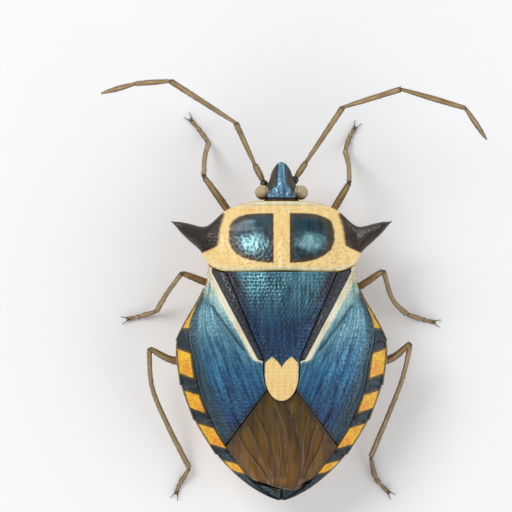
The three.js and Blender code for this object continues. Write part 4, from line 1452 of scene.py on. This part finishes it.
@dataclass
class Head:
    """Head capsule with clypeus, side lobes, ocelli, antenna sockets and eyes."""

    length: float = 2.42
    half: float = 1.25
    crown: tuple = (4.72, 5.72)
    throat: tuple = (4.5, 3.85)
    cheek_rise: float = 0.12
    waist: Fold = Fold(1.15, 0.4, 0.1)
    clypeus: tuple = (0.24, 0.36)
    clypeus_ridge: Fold = Fold(0, 0.25, 0.07)
    furrow_width: float = 0.045
    furrow_depth: float = 0.07
    lobe_lip: float = 0.05
    dimple: Oval = Oval(0.75, 1.95, 0.1, 0.35, -0.06)
    ocellus_ring: Fold = Fold(0.11, 0.05, 0.04)
    pits: Pits = Pits((0.2, 0.19), 0.06, 0.36, 41, 0.03)
    neck_line: float = 2.33
    eye_radius: float = 0.47
    eye_at: tuple = (1.24, 1.98, 5.12)
    socket_ring: tuple = (0.86, 0.035, 0.21)
    ocellus_at: tuple = (0.52, 2.12, 5.63)
    ocellus_size: tuple = (0.085, 0.085, 0.075)
    rows: int = 130
    sides: int = 200

    def capsule(self) -> Solid:
        """The head shell.

        Returns:
            The shell, closed round.
        """
        v = np.linspace(0.004, 1, self.rows) ** 1.5
        turn, y = np.meshgrid(around(self.sides), v * (self.length + 0.08))
        share = np.clip(y / self.length, 0, 1)
        swell = np.sin(share * np.pi / 2)
        crown, throat = mix(*self.crown, swell), mix(*self.throat, swell)
        cheek = (crown + throat) / 2 + self.cheek_rise
        close = np.sqrt(np.clip(1 - smooth(self.length - 0.15, self.length + 0.08, y) * 0.9, 0, 1))
        half = self.half * np.maximum(share, 0.001) ** 0.5 * (1 - self.waist.over(y)) * close
        up = np.sin(turn) > 0
        rise = np.where(up, crown - cheek, cheek - throat) * np.maximum(share, 0.001) ** 0.12 * close
        x = half * np.sign(np.cos(turn)) * np.abs(np.cos(turn)) ** 0.9
        top, a = smooth(0, 0.4, np.sin(turn)), np.abs(x)
        clypeus = mix(*self.clypeus, smooth(0.2, 1.6, y))
        furrow = bump(a, clypeus, self.furrow_width) * (1 - smooth(1.5, 1.8, y))
        spot = np.hypot(a - self.ocellus_at[0], y - self.ocellus_at[1])
        relief = self.clypeus_ridge.over(x) * (1 - smooth(1.3, 1.9, y)) - self.furrow_depth * furrow
        relief += self.lobe_lip * smooth(0.8, 0.97, a / np.maximum(half, 0.01)) * (1 - smooth(1.2, 1.6, y))
        relief += self.dimple.bell(a, y) + self.ocellus_ring.over(spot)
        depth = self.pits.on(x, y) * top * smooth(0.1, 0.3, y) * (furrow < 0.3) * (spot > 0.2)
        z = cheek + rise * np.sin(turn) + top * relief - self.pits.sink * depth
        lobe = np.where(up, a - clypeus - 0.02 - 0.5 * smooth(1.5, 2.1, y), -0.5)
        rings = np.stack([x, y, z], -1)
        marks = {**flow_marks(rings), "pit": depth * 0.8, "lobe": np.minimum(lobe, 1.0),
                 "furrow": np.maximum((furrow - 0.5) * 0.2 * top, y - self.neck_line),
                 "throat": np.where(np.sin(turn) < -0.2, 0.5, -0.5)}
        return tube(rings, marks, HEAD_FINISH)

    def eye_ring(self, side: Side) -> Solid:
        """The raised ring round an eye.

        Args:
            side: the eye's side.

        Returns:
            The closed ring.
        """
        share, thick, inward = self.socket_ring
        cx, cy, cz = self.eye_at
        spin, turn = np.meshgrid(around(64), around(12))
        ring = self.eye_radius * share + thick * np.cos(turn)
        x = side.value * (cx - inward - thick * np.sin(turn))
        return torus(np.stack([x, cy + ring * np.cos(spin), cz + ring * np.sin(spin)], -1), HEAD_FINISH)

    def build(self) -> None:
        """Make the head with its sockets and ocelli, and both eyes."""
        beads = []
        for side in Side:
            x, *place = self.ocellus_at
            beads.append(ball((side.value * x, *place), self.ocellus_size, OCELLUS_FINISH))
        sockets = [antenna.socket() for antenna in ANTENNAE] + [self.eye_ring(side) for side in Side]
        Piece("head_shell", [self.capsule(), *sockets, *beads]).settle("head_shell", "head")
        for side in Side:
            x, *place = self.eye_at
            CompoundEye((side.value * x, *place), self.eye_radius).build(f"eye_{side.label}")


def ball(centre: tuple, radii: tuple, finish: "Finish", steps: int = 12) -> Solid:
    """An ellipsoid of shell.

    Args:
        centre: its middle.
        radii: half sizes along X, Y and Z.
        finish: what it is finished in.
        steps: steps from pole to pole.

    Returns:
        The closed ball.
    """
    lift = np.linspace(-np.pi / 2, np.pi / 2, steps + 1)[1:-1]
    lift, turn = np.meshgrid(lift, around(2 * steps), indexing="ij")
    unit = np.stack([np.cos(lift) * np.cos(turn), np.cos(lift) * np.sin(turn), np.sin(lift)], -1)
    return tube(np.array(centre) + unit * np.array(radii), {}, finish)


def torus(points: Array, finish: "Finish") -> Solid:
    """A ring closed both ways round.

    Args:
        points: places round the section, as rows, and round the ring, as columns.
        finish: what it is finished in.

    Returns:
        The closed ring, painted in the colour of the head's side lobes.
    """
    rows, cols = points.shape[:2]
    index = np.arange(rows * cols).reshape(rows, cols)
    right, below = np.roll(index, -1, 1), np.roll(index, -1, 0)
    faces = np.stack([index, right, np.roll(right, -1, 0), below], -1).reshape(-1, 4).tolist()
    solid = Solid(points.reshape(-1, 3), faces, {}, finish)
    return socket_paint(solid).outward()


def socket_paint(solid: Solid) -> Solid:
    """Paint a socket on the head in the colour of the side lobes.

    Args:
        solid: the socket's shell.

    Returns:
        The same shell.
    """
    for mark, value in {"lobe": 1.0, "throat": -1.0, "furrow": -1.0}.items():
        solid.marks[mark] = np.full(len(solid.points), value)
    return solid


# Geometry Nodes

class NodeTool:
    """A Geometry Nodes tree with named inputs, applied to a plain mesh."""

    def __init__(self, name: str, inputs: dict) -> None:
        """Start the tree.

        Args:
            name: the tree's name.
            inputs: socket name to a pair of socket type and value.
        """
        self.tree = bpy.data.node_groups.new(name, "GeometryNodeTree")
        self.tree.interface.new_socket("Geometry", in_out="INPUT", socket_type="NodeSocketGeometry")
        self.tree.interface.new_socket("Geometry", in_out="OUTPUT", socket_type="NodeSocketGeometry")
        self.sockets = {}
        for key, (kind, value) in inputs.items():
            socket = self.tree.interface.new_socket(key, in_out="INPUT", socket_type=kind)
            self.sockets[key] = (socket.identifier, value)
        self.graph = Graph(self.tree)
        self.given = self.graph.node("NodeGroupInput").outputs
        self.out = self.graph.node("NodeGroupOutput")

    def store(self, geometry: bpy.types.NodeSocket, name: str, value: bpy.types.NodeSocket,
              kind: str = "FLOAT_VECTOR", domain: str = "POINT") -> bpy.types.NodeSocket:
        """Paint a value on a geometry.

        Args:
            geometry: what is painted.
            name: the mark's name.
            value: its value at each place.
            kind: its data type.
            domain: what carries it.

        Returns:
            The painted geometry.
        """
        inputs = {0: geometry, "Name": name, "Value": value}
        made = self.graph.node("GeometryNodeStoreNamedAttribute", inputs, data_type=kind, domain=domain)
        return made.outputs[0]

    def read(self, name: str, kind: str = "FLOAT") -> bpy.types.NodeSocket:
        """A mark painted on the geometry."""
        return self.graph.node("GeometryNodeInputNamedAttribute", {"Name": name}, data_type=kind).outputs[0]

    def finish(self, geometry: bpy.types.NodeSocket, material: bpy.types.Material) -> None:
        """End the tree in realised instances and a material.

        Args:
            geometry: what the tree has made.
            material: what it is finished in.
        """
        plain = self.graph.node("GeometryNodeRealizeInstances", {0: geometry})
        dressed = self.graph.node("GeometryNodeSetMaterial", {0: plain.outputs[0], "Material": material})
        self.tree.links.new(dressed.outputs[0], self.out.inputs[0])

    def apply(self, obj: bpy.types.Object, name: str) -> bpy.types.Object:
        """Run the tree on an object and keep the result as a new plain mesh.

        Args:
            obj: the object that feeds the tree.
            name: the new object's name.

        Returns:
            The new object.
        """
        modifier = obj.modifiers.new("nodes", "NODES")
        modifier.node_group = self.tree
        for identifier, value in self.sockets.values():
            modifier[identifier] = value
        graph = bpy.context.evaluated_depsgraph_get()
        mesh = bpy.data.meshes.new_from_object(obj.evaluated_get(graph), depsgraph=graph)
        obj.modifiers.remove(modifier)
        mesh.name = name
        made = bpy.data.objects.new(name, mesh)
        bpy.context.scene.collection.objects.link(made)
        return made


@dataclass
class CompoundEye:
    """A globe of small domed facets, with shade painted on its rear inner side."""

    centre: tuple
    radius: float
    fineness: int = 5
    dome: float = 0.014
    facet_top: float = 0.55
    shade_aim: tuple = (0.5, 0.8, -0.1)
    shade_from: float = 0.3

    def build(self, node: str) -> None:
        """Grow the facets and set the eye in its socket.

        Args:
            node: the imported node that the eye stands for.
        """
        tool = NodeTool(f"{node} facets", {
            "Radius": ("NodeSocketFloat", self.radius * MM), "Dome": ("NodeSocketFloat", self.dome * MM),
            "Fineness": ("NodeSocketInt", self.fineness)})
        g, given = tool.graph, tool.given
        sphere = g.node("GeometryNodeMeshIcoSphere", {
            "Radius": given["Radius"], "Subdivisions": given["Fineness"]})
        cells = g.node("GeometryNodeDualMesh", {0: sphere.outputs[0]})
        raised = g.node("GeometryNodeExtrudeMesh", {0: cells.outputs[0], "Offset Scale": given["Dome"]},
                        mode="FACES")
        domed = g.node("GeometryNodeScaleElements", {
            0: raised.outputs[0], "Selection": raised.outputs["Top"], "Scale": self.facet_top})
        soft = g.node("GeometryNodeSetShadeSmooth", {0: domed.outputs[0]})
        place = g.node("GeometryNodeInputPosition").outputs[0]
        # Painted shade: the side facing the tail and the midline is stored as a mark that the finish paints
        # brown.
        towards = Vector((-self.shade_aim[0] * math.copysign(1, self.centre[0]), *self.shade_aim[1:]))
        facing = g.node("ShaderNodeVectorMath", {0: place, 1: towards}, operation="DOT_PRODUCT")
        low = g.math("SUBTRACT", g.math("DIVIDE", facing.outputs["Value"], given["Radius"]), self.shade_from)
        shaded = tool.store(soft.outputs[0], "pupil", low, "FLOAT")
        tool.finish(shaded, EYE_FINISH.material())
        seed = bpy.data.objects.new("seed", bpy.data.meshes.new("seed"))
        bpy.context.scene.collection.objects.link(seed)
        made = tool.apply(seed, f"{node}_globe")
        bpy.data.objects.remove(seed)
        place = Vector(to_frame(np.array([self.centre]))[0])
        for vertex in made.data.vertices:
            vertex.co = vertex.co + place
        settle(made, "eye", node)


# Limbs

def sweep(path: Array, radius: Array, finish: "Finish", sides: int = 16, cell: tuple = (0, 0),
          ridges: float = 0.0, flat: float = 1.0, floor: bool = False) -> Solid:
    """Carry a round or ridged section along a path, with rounded ends.

    Args:
        path: places along the limb.
        radius: radius at each place.
        finish: what the limb is finished in.
        sides: points round the section.
        cell: place of this limb on the unwrap, as column and row.
        ridges: height of four lengthwise ridges, as a share of the radius.
        flat: share of the height that is kept.
        floor: keep the section above the floor.

    Returns:
        The closed limb.
    """
    along = np.gradient(path, axis=0)
    along /= np.linalg.norm(along, axis=1, keepdims=True)
    across = np.cross(along, (0, 0, 1))
    across /= np.maximum(np.linalg.norm(across, axis=1, keepdims=True), 1e-6)
    above = np.cross(across, along)
    walk = np.concatenate([[0], np.cumsum(np.linalg.norm(np.diff(path, axis=0), axis=1))])
    end = np.minimum(walk, walk[-1] - walk)
    cap = np.sqrt(1 - (1 - np.clip(end / np.maximum(radius * 0.8, 1e-4), 0, 1)) ** 2) + 0.02
    turn = around(sides)
    wave = 1 + ridges * np.cos(4 * (turn - np.pi / 4))
    size = (radius * cap)[:, None] * wave[None, :]
    rings = (path[:, None] + across[:, None] * (size * np.cos(turn))[..., None]
             + above[:, None] * (size * np.sin(turn) * flat)[..., None])
    if floor:
        rings[..., 2] = np.maximum(rings[..., 2], 0.002)
    share = np.repeat((walk / walk[-1])[:, None], sides, 1)
    ones = np.ones_like(share)
    marks = {
        "across": ones * turn * radius.mean() * 2, "along": ones * walk[:, None],
        "lie": np.repeat(along[:, None], sides, 1), "reach": share,
        "turn_cos": ones * np.cos(turn), "turn_sin": ones * np.sin(turn),
        "cell_u": ones * cell[0], "cell_v": ones * cell[1],
        # The pale line along the limb's top is a painted highlight; shadow is painted shade on its flanks
        # and underside.
        "ridge": np.sin(turn) * ones - 0.82, "shadow": (0.42 - np.sin(turn)) * ones * 0.7,
        "joint": 0.1 - end[:, None] * ones,
    }
    return tube(rings, marks, finish)


@dataclass(frozen=True)
class Leg:
    """One leg: joints from the hip to the claws, on its own side."""

    name: str
    side: Side
    hip: tuple
    femur: tuple
    tibia: tuple
    tarsus: tuple
    row: int
    shin: tuple = ((0, 0.14), (0.05, 0.165), (0.2, 0.155), (0.6, 0.16), (0.92, 0.18), (1, 0.165))
    toes: tuple = ((0, 0.12), (0.2, 0.14), (0.42, 0.155), (0.455, 0.085), (0.52, 0.13), (0.64, 0.14),
                   (0.675, 0.08), (0.74, 0.105), (0.95, 0.14), (1, 0.12))
    toe_heights: tuple = (0.15, 0.13)
    heel_rise: float = 0.13
    claw_reach: float = 0.42
    claw_radii: tuple = (0.045, 0.012)
    pad_size: tuple = (0.1, 0.1, 0.055)
    spur_count: int = 7
    spur_stretch: tuple = (0.93, 0.97)
    spur_size: tuple = (0.16, 0.09)
    hind_stoutness: float = 1.15

    def mirrored(self, points: tuple) -> list:
        """Joints in body places, on the leg's own side."""
        return [(self.side.value * x, y, z) for x, y, z in points]

    def segment(self, points: tuple, widths: list, column: int, count: int = 60, **options: float) -> Solid:
        """Sweep one segment of the leg.

        Args:
            points: joints of its path, as on the left side.
            widths: stations of share and radius.
            column: its place on the unwrap.
            count: steps along it.
            options: further words of sweep.

        Returns:
            The closed segment.
        """
        t = eased(count)
        path, radius = route(self.mirrored(points), t), through(widths, t)
        return sweep(path, radius, LIMB_FINISH, cell=(column, self.row), **options)

    def coxa(self) -> list[Solid]:
        """Hip and the small ring joint after it.

        Returns:
            Both joints.
        """
        y, z = self.hip
        hip = ((1.05, y, z), (1.6, y, z + 0.1), (2.15, y, z + 0.2))
        first, second = np.array(self.femur[0]), np.array(self.femur[1])
        link = (tuple(first - (0.35, 0, 0.05)), tuple(first), tuple(mix(first, second, 0.16)))
        parts = [self.segment(hip, [(0, 0.36), (0.45, 0.48), (1, 0.32)], 0, 30, sides=24),
                 self.segment(link, [(0, 0.24), (0.5, 0.25), (1, 0.17)], 1, 24, sides=20)]
        for part in parts:
            part.marks["shadow"] = part.marks["shadow"] - 0.5
        return parts

    def foot(self) -> list[Solid]:
        """Three tarsal joints, two claws and the pads between them.

        Returns:
            The foot's shells.
        """
        start, middle, tip = (np.array(p) for p in self.mirrored(self.tarsus))
        heel = start + (0, 0, self.heel_rise)
        middle[2], tip[2] = self.toe_heights
        away = (tip - middle) / np.linalg.norm(tip - middle)
        last = tip - away * self.claw_reach
        t = eased(90)
        path, beads = route([heel, middle, last], t), through(self.toes, t)
        path[:, 2] = np.maximum(path[:, 2], beads + 0.004)
        parts = [sweep(path, beads, LIMB_FINISH, 16, (4, self.row), floor=True)]
        sidewise = np.cross(away, (0, 0, 1))
        for hand in (1, -1):
            root = last + sidewise * 0.05 * hand + (0, 0, 0.03)
            knuckle = root + away * 0.2 + sidewise * 0.1 * hand + (0, 0, 0.05)
            point = root + away * 0.5 + sidewise * 0.2 * hand
            point[2] = 0.03
            hook, radii = route([root, knuckle, point], eased(18)), np.linspace(*self.claw_radii, 18)
            parts.append(sweep(hook, radii, CLAW_FINISH, 10, (5, self.row)))
            pad = last + away * 0.07 + sidewise * 0.06 * hand
            parts.append(ball((pad[0], pad[1], 0.06), self.pad_size, PAD_FINISH, 8))
        return parts

    def spurs(self) -> list[Solid]:
        """Short stout spines round the shin's end.

        Returns:
            One closed spine for each place of the ring.
        """
        path = route(self.mirrored(self.tibia), np.array(self.spur_stretch))
        along = path[1] - path[0]
        along /= np.linalg.norm(along)
        across = np.cross(along, (0, 0, 1))
        across /= np.linalg.norm(across)
        above = np.cross(across, along)
        made = []
        for turn in around(self.spur_count):
            out = across * math.cos(turn) + above * math.sin(turn)
            root = path[1] + out * 0.12
            line = np.linspace(root, root + along * self.spur_size[0] + out * self.spur_size[1], 6)
            made.append(sweep(line, np.linspace(0.022, 0.005, 6), CLAW_FINISH, 6))
        return made

    def build(self) -> Piece:
        """Make the leg.

        Returns:
            The leg, so that its setae can be grown.
        """
        stout = self.hind_stoutness if self.name == "hind" else 1.0
        thigh = [(0, 0.15), (0.12, 0.17), (0.6, 0.235 * stout), (0.88, 0.2), (0.96, 0.17), (1, 0.14)]
        parts = [*self.coxa(), self.segment(self.femur, thigh, 2, 70),
                 self.segment(self.tibia, self.shin, 3, 80, ridges=0.07), *self.spurs(), *self.foot()]
        label = f"{self.name}_leg_{self.side.label}"
        piece = Piece(f"{label}_shell", parts)
        piece.settle("limb", *[f"{label}_{part}" for part in ("coxa", "femur", "tibia", "tarsus")])
        return piece


LEGS = (
    Leg("fore", Side.LEFT, (4.9, 2.35), ((2.3, 4.85, 2.65), (3.5, 3.1, 3.5), (5.05, 0.93, 4.6)),
        ((5.05, 0.93, 4.6), (5.0, -0.4, 2.5), (4.78, -1.36, 0.55)),
        ((4.78, -1.36, 0.42), (5.3, -2.1, 0.2), (6.2, -3.18, 0.19)), 0),
    Leg("fore", Side.RIGHT, (4.9, 2.35), ((2.3, 4.85, 2.65), (3.45, 3.0, 3.5), (4.4, 1.36, 4.6)),
        ((4.4, 1.36, 4.6), (4.42, 0.2, 2.5), (4.22, -0.84, 0.55)),
        ((4.22, -0.84, 0.42), (4.5, -1.7, 0.2), (5.06, -2.7, 0.19)), 1),
    Leg("mid", Side.LEFT, (8.5, 1.8), ((2.3, 8.5, 2.05), (4.4, 8.0, 3.2), (6.46, 7.2, 4.6)),
        ((6.46, 7.2, 4.6), (7.45, 8.5, 2.4), (8.21, 9.74, 0.55)),
        ((8.21, 9.74, 0.42), (9.3, 10.08, 0.2), (10.48, 10.34, 0.19)), 2),
    Leg("mid", Side.RIGHT, (8.5, 1.8), ((2.3, 8.5, 2.05), (4.5, 8.35, 3.2), (6.62, 7.06, 4.6)),
        ((6.62, 7.06, 4.6), (7.3, 8.95, 2.4), (8.25, 9.92, 0.55)),
        ((8.25, 9.92, 0.42), (9.3, 10.28, 0.2), (10.48, 10.55, 0.19)), 3),
    Leg("hind", Side.LEFT, (11.0, 1.45),
        ((2.3, 11.2, 1.85), (3.8, 12.2, 2.25), (5.5, 12.95, 3.0), (7.1, 12.88, 3.65), (8.6, 12.1, 4.35)),
        ((8.6, 12.1, 4.35), (8.45, 14.6, 3.2), (7.5, 17.1, 1.9), (6.04, 20.1, 0.55)),
        ((6.04, 20.1, 0.42), (6.72, 21.2, 0.2), (7.05, 22.1, 0.19)), 4),
    Leg("hind", Side.RIGHT, (11.0, 1.45),
        ((2.3, 11.2, 1.85), (3.8, 12.3, 2.25), (5.4, 13.0, 3.0), (7.1, 12.8, 3.7), (8.4, 11.75, 4.35)),
        ((8.4, 11.8, 4.35), (7.89, 14.15, 3.2), (6.91, 16.8, 1.9), (5.9, 19.36, 0.55)),
        ((5.9, 19.36, 0.42), (6.28, 20.8, 0.2), (7.37, 22.0, 0.19)), 5),
)


@dataclass(frozen=True)
class Antenna:
    """A five-jointed feeler from its socket to its tip."""

    side: Side
    joints: tuple
    root: tuple
    row: int
    thickness: tuple = (((0, 0.16), (0.5, 0.2), (1, 0.16)), ((0, 0.11), (0.3, 0.15), (1, 0.185)),
                        ((0, 0.11), (0.4, 0.16), (1, 0.185)), ((0, 0.105), (0.5, 0.175), (1, 0.145)),
                        ((0, 0.1), (0.4, 0.17), (0.8, 0.13), (1, 0.05)))
    overlap: float = 0.05
    sag: float = 0.05
    stub_length: float = 0.45
    stub_radii: tuple = (0.3, 0.22)

    def places(self) -> Array:
        """Joints on the antenna's own side."""
        return np.array(self.joints) * (self.side.value, 1, 1)

    def socket(self) -> Solid:
        """The stub on the head that carries the first joint.

        Returns:
            The closed stub.
        """
        joint = self.places()
        along = (joint[1] - joint[0]) / np.linalg.norm(joint[1] - joint[0])
        root = np.array(self.root) * (self.side.value, 1, 1)
        path = route([root, joint[0] - along * self.stub_length, joint[0]], eased(30))
        return socket_paint(sweep(path, np.linspace(*self.stub_radii, 30), HEAD_FINISH, 20))

    def build(self) -> Piece:
        """Make the five joints, each sagging a little and reaching into the next.

        Returns:
            The antenna, so that its setae can be grown.
        """
        places = self.places()
        t = eased(46)
        share, sag = t[:, None], np.sin(np.pi * t)[:, None] * (0, 0, self.sag)
        parts = []
        for k, thick in enumerate(self.thickness):
            start, end = places[k], places[k + 1]
            along = self.overlap * (end - start) / np.linalg.norm(end - start)
            path = start + (end - start + along) * share - along * (1 - share) + sag
            parts.append(sweep(path, through(thick, t), LIMB_FINISH, 16, (k, self.row)))
        piece = Piece(f"antenna_{self.side.label}_shell", parts)
        piece.settle("antenna", *[f"antenna_{self.side.label}_{k}" for k in range(1, 6)])
        return piece


ANTENNAE = (
    Antenna(Side.LEFT, ((1.22, 1.18, 4.5), (1.75, 0.15, 4.95), (2.95, -2.46, 7.0), (7.14, -5.12, 8.2),
                        (9.4, -5.0, 7.1), (11.65, -4.45, 5.4)), (0.45, 1.75, 4.62), 6),
    Antenna(Side.RIGHT, ((0.98, 0.95, 4.5), (1.6, 0.0, 4.95), (3.95, -3.5, 6.5), (7.65, -4.6, 8.2),
                         (11.8, -3.4, 7.7), (13.2, -1.45, 6.6)), (0.4, 1.55, 4.58), 7),
)


@dataclass
class Rostrum:
    """The four-jointed beak folded back under the body."""

    points: tuple = ((0, 0.32, 4.2), (0, 0.7, 3.88), (0, 1.6, 3.42),
                     (0, 3.2, 3.0), (0, 4.9, 2.25), (0, 6.9, 1.8))
    joints: tuple = ((0, 0.2), (0.1, 0.24), (0.24, 0.22), (0.25, 0.16), (0.28, 0.22), (0.5, 0.21),
                     (0.515, 0.15),
                     (0.54, 0.2), (0.76, 0.18), (0.775, 0.13), (0.8, 0.17), (0.96, 0.12), (1, 0.07))

    def build(self) -> None:
        """Make the beak."""
        t = eased(150)
        solid = sweep(route(self.points, t), through(self.joints, t), LIMB_FINISH, 20, (5, 6))
        Piece("rostrum_shell", [solid]).settle("limb", "rostrum")


@dataclass
class Setae:
    """Short stiff hairs that lie towards each limb's end."""

    length: float = 0.17
    radius: float = 0.009
    density: float = 26.0
    stand: float = 0.55
    patch: float = 0.003
    size_range: tuple = (0.6, 1.25, 7)
    cells: int = 8

    def grow(self, carrier: bpy.types.Object, name: str, slot: str, seed: int) -> None:
        """Grow the hairs of one limb.

        Args:
            carrier: the limb, whose painted marks give lie and unwrap.
            name: the new piece's name.
            slot: material slot of the record.
            seed: fixed seed of the scatter.
        """
        tool = NodeTool(f"{name} setae", {
            "Density": ("NodeSocketFloat", self.density / MM**2), "Seed": ("NodeSocketInt", seed),
            "Length": ("NodeSocketFloat", self.length * MM), "Radius": ("NodeSocketFloat", self.radius * MM),
            "Stand": ("NodeSocketFloat", self.stand), "Patch": ("NodeSocketFloat", self.patch)})
        g, given = tool.graph, tool.given
        worn = g.node("GeometryNodeInputMaterialIndex").outputs[0]
        on_limb = g.node("FunctionNodeCompare", {2: worn, 3: 0}, data_type="INT", operation="EQUAL")
        scatter = g.node("GeometryNodeDistributePointsOnFaces", {
            0: given["Geometry"], "Selection": on_limb.outputs[0], "Density": given["Density"],
            "Seed": given["Seed"]})
        up = g.vector("SCALE", scatter.outputs["Normal"], given["Stand"])
        aim = g.vector("ADD", tool.read("lie", "FLOAT_VECTOR"), up)
        turn = g.node("FunctionNodeAlignRotationToVector", {"Vector": aim}, axis="Z")
        hair = g.node("GeometryNodeMeshCone", {
            "Vertices": 4, "Radius Top": 0.0, "Radius Bottom": given["Radius"], "Depth": given["Length"]})
        place = g.node("GeometryNodeInputPosition").outputs[0]
        leaf = tool.store(hair.outputs[0], "leaf", g.vector("SCALE", place, 0.5 / (self.length * MM)))
        low, high, seed_of_size = self.size_range
        size = g.node("FunctionNodeRandomValue", {2: low, 3: high, "Seed": seed_of_size}, data_type="FLOAT")
        angle = g.math("ARCTAN2", tool.read("turn_sin"), tool.read("turn_cos"))
        column = g.math("ADD", tool.read("cell_u"), tool.read("reach"))
        row = g.math("ADD", tool.read("cell_v"), g.math("MULTIPLY_ADD", angle, 0.5 / math.pi, 0.5))
        cells = [g.math("DIVIDE", cell, float(self.cells)) for cell in (column, row)]
        home = g.node("ShaderNodeCombineXYZ", dict(enumerate(cells))).outputs[0]
        planted = g.node("GeometryNodeInstanceOnPoints", {
            "Points": tool.store(scatter.outputs[0], "root", home), "Instance": leaf,
            "Rotation": turn.outputs[0], "Scale": size.outputs[1]})
        plain = g.node("GeometryNodeRealizeInstances", {0: planted.outputs[0]}).outputs[0]
        spread = g.vector("SCALE", tool.read("leaf", "FLOAT_VECTOR"), given["Patch"])
        spot = g.vector("ADD", tool.read("root", "FLOAT_VECTOR"), spread)
        mapped = tool.store(plain, "OFBake", spot, "FLOAT2", "CORNER")
        soft = g.node("GeometryNodeSetShadeSmooth", {0: mapped})
        tool.finish(soft.outputs[0], SETA_FINISH.material())
        made = tool.apply(carrier, name)
        for extra in [a.name for a in made.data.attributes if a.name in ("leaf", "root")]:
            made.data.attributes.remove(made.data.attributes[extra])
        settle(made, slot)


# Stage

@dataclass
class Studio:
    """Plain pale floor, soft light and the camera over the back."""

    view_centre: tuple = (1.655, 6.1)
    view_width: float = 33.2
    focus_height: float = 5.2
    sky_strength: tuple = (0.95, 0.22)
    lens: float = 300.0
    sensor: float = 36.0
    floor_half: float = 1.5
    floor_colour: tuple = (0.97, 0.97, 0.965, 1)
    floor_rough: float = 0.85
    sky_colour: tuple = (0.92, 0.95, 1, 1)
    aim: tuple = (0, 0, 0.004)

    def floor(self) -> None:
        """A wide pale floor."""
        mesh = bpy.data.meshes.new("floor")
        r = self.floor_half
        mesh.from_pydata([(-r, -r, 0), (r, -r, 0), (r, r, 0), (-r, r, 0)], [], [(0, 1, 2, 3)])
        obj = bpy.data.objects.new("floor", mesh)
        bpy.context.scene.collection.objects.link(obj)
        made = bpy.data.materials.new("floor")
        made.use_nodes = True
        shader = made.node_tree.nodes["Principled BSDF"]
        shader.inputs["Base Color"].default_value = self.floor_colour
        shader.inputs["Roughness"].default_value = self.floor_rough
        mesh.materials.append(made)

    def light(self, name: str, place: tuple, size: float, power: float, colour: tuple) -> None:
        """A square soft light aimed at the middle of the bug.

        Args:
            name: the light's name.
            place: where it hangs, in metres.
            size: length of its side.
            power: its power in watts.
            colour: its colour.
        """
        data = bpy.data.lights.new(name, "AREA")
        data.size, data.energy, data.color = size, power, colour
        obj = bpy.data.objects.new(name, data)
        obj.location = place
        aim = Vector(self.aim) - Vector(place)
        obj.rotation_euler = aim.to_track_quat("-Z", "Y").to_euler()
        bpy.context.scene.collection.objects.link(obj)

    def sky(self) -> None:
        """A pale surround that is darker overhead, so that dark shell stays dark."""
        world = bpy.data.worlds.new("studio")
        world.use_nodes = True
        world.node_tree.nodes.clear()
        g = Graph(world.node_tree)
        place = g.node("ShaderNodeTexCoord").outputs["Generated"]
        height = g.node("ShaderNodeSeparateXYZ", {0: place}).outputs[2]
        strength = g.lerp(g.span(height, 0.35, 0.95), *self.sky_strength)
        back = g.node("ShaderNodeBackground", {"Color": self.sky_colour, "Strength": strength})
        g.node("ShaderNodeOutputWorld", {"Surface": back.outputs[0]})
        bpy.context.scene.world = world

    def camera(self) -> None:
        """A long lens that looks straight down, with the head towards the picture's top."""
        data = bpy.data.cameras.new("camera")
        data.lens, data.sensor_width = self.lens, self.sensor
        away = self.view_width * MM * self.lens / self.sensor
        data.clip_start, data.clip_end = 0.01, 5.0
        obj = bpy.data.objects.new("camera", data)
        x, y, _ = to_frame(np.array([(*self.view_centre, 0)]))[0]
        obj.location = (x, y, away + self.focus_height * MM)
        obj.rotation_euler = (0, 0, math.pi)
        bpy.context.scene.collection.objects.link(obj)
        bpy.context.scene.camera = obj

    def build(self) -> None:
        """Set the stage."""
        self.floor()
        self.light("key", (0.16, -0.16, 0.26), 0.16, 0.5, (1, 0.98, 0.95))
        self.light("fill", (-0.24, 0.06, 0.2), 0.24, 0.2, (0.95, 0.98, 1))
        self.light("rim", (0.05, 0.26, 0.14), 0.14, 0.16, (1, 1, 1))
        self.sky()
        bpy.context.scene.view_settings.view_transform = "Standard"
        self.camera()


def main() -> None:
    """Build every piece in order, from the back plates to the stage."""
    Pronotum().build()
    Scutellum().build()
    for side in Side:
        Forewing(side).build()
        Connexivum(side).build()
    Trunk().build()
    Head().build()
    Rostrum().build()
    setae = Setae()
    for seed, leg in enumerate(LEGS):
        piece = leg.build()
        setae.grow(piece.object, f"{leg.name}_leg_{leg.side.label}_setae", "limb", seed)
    for seed, antenna in enumerate(ANTENNAE):
        piece = antenna.build()
        setae.grow(piece.object, f"antenna_{antenna.side.label}_setae", "antenna", 10 + seed)
    Studio().build()


if __name__ == "__main__":
    logging.basicConfig(level=logging.INFO, format="%(name)s %(message)s", stream=sys.stdout)
    main()
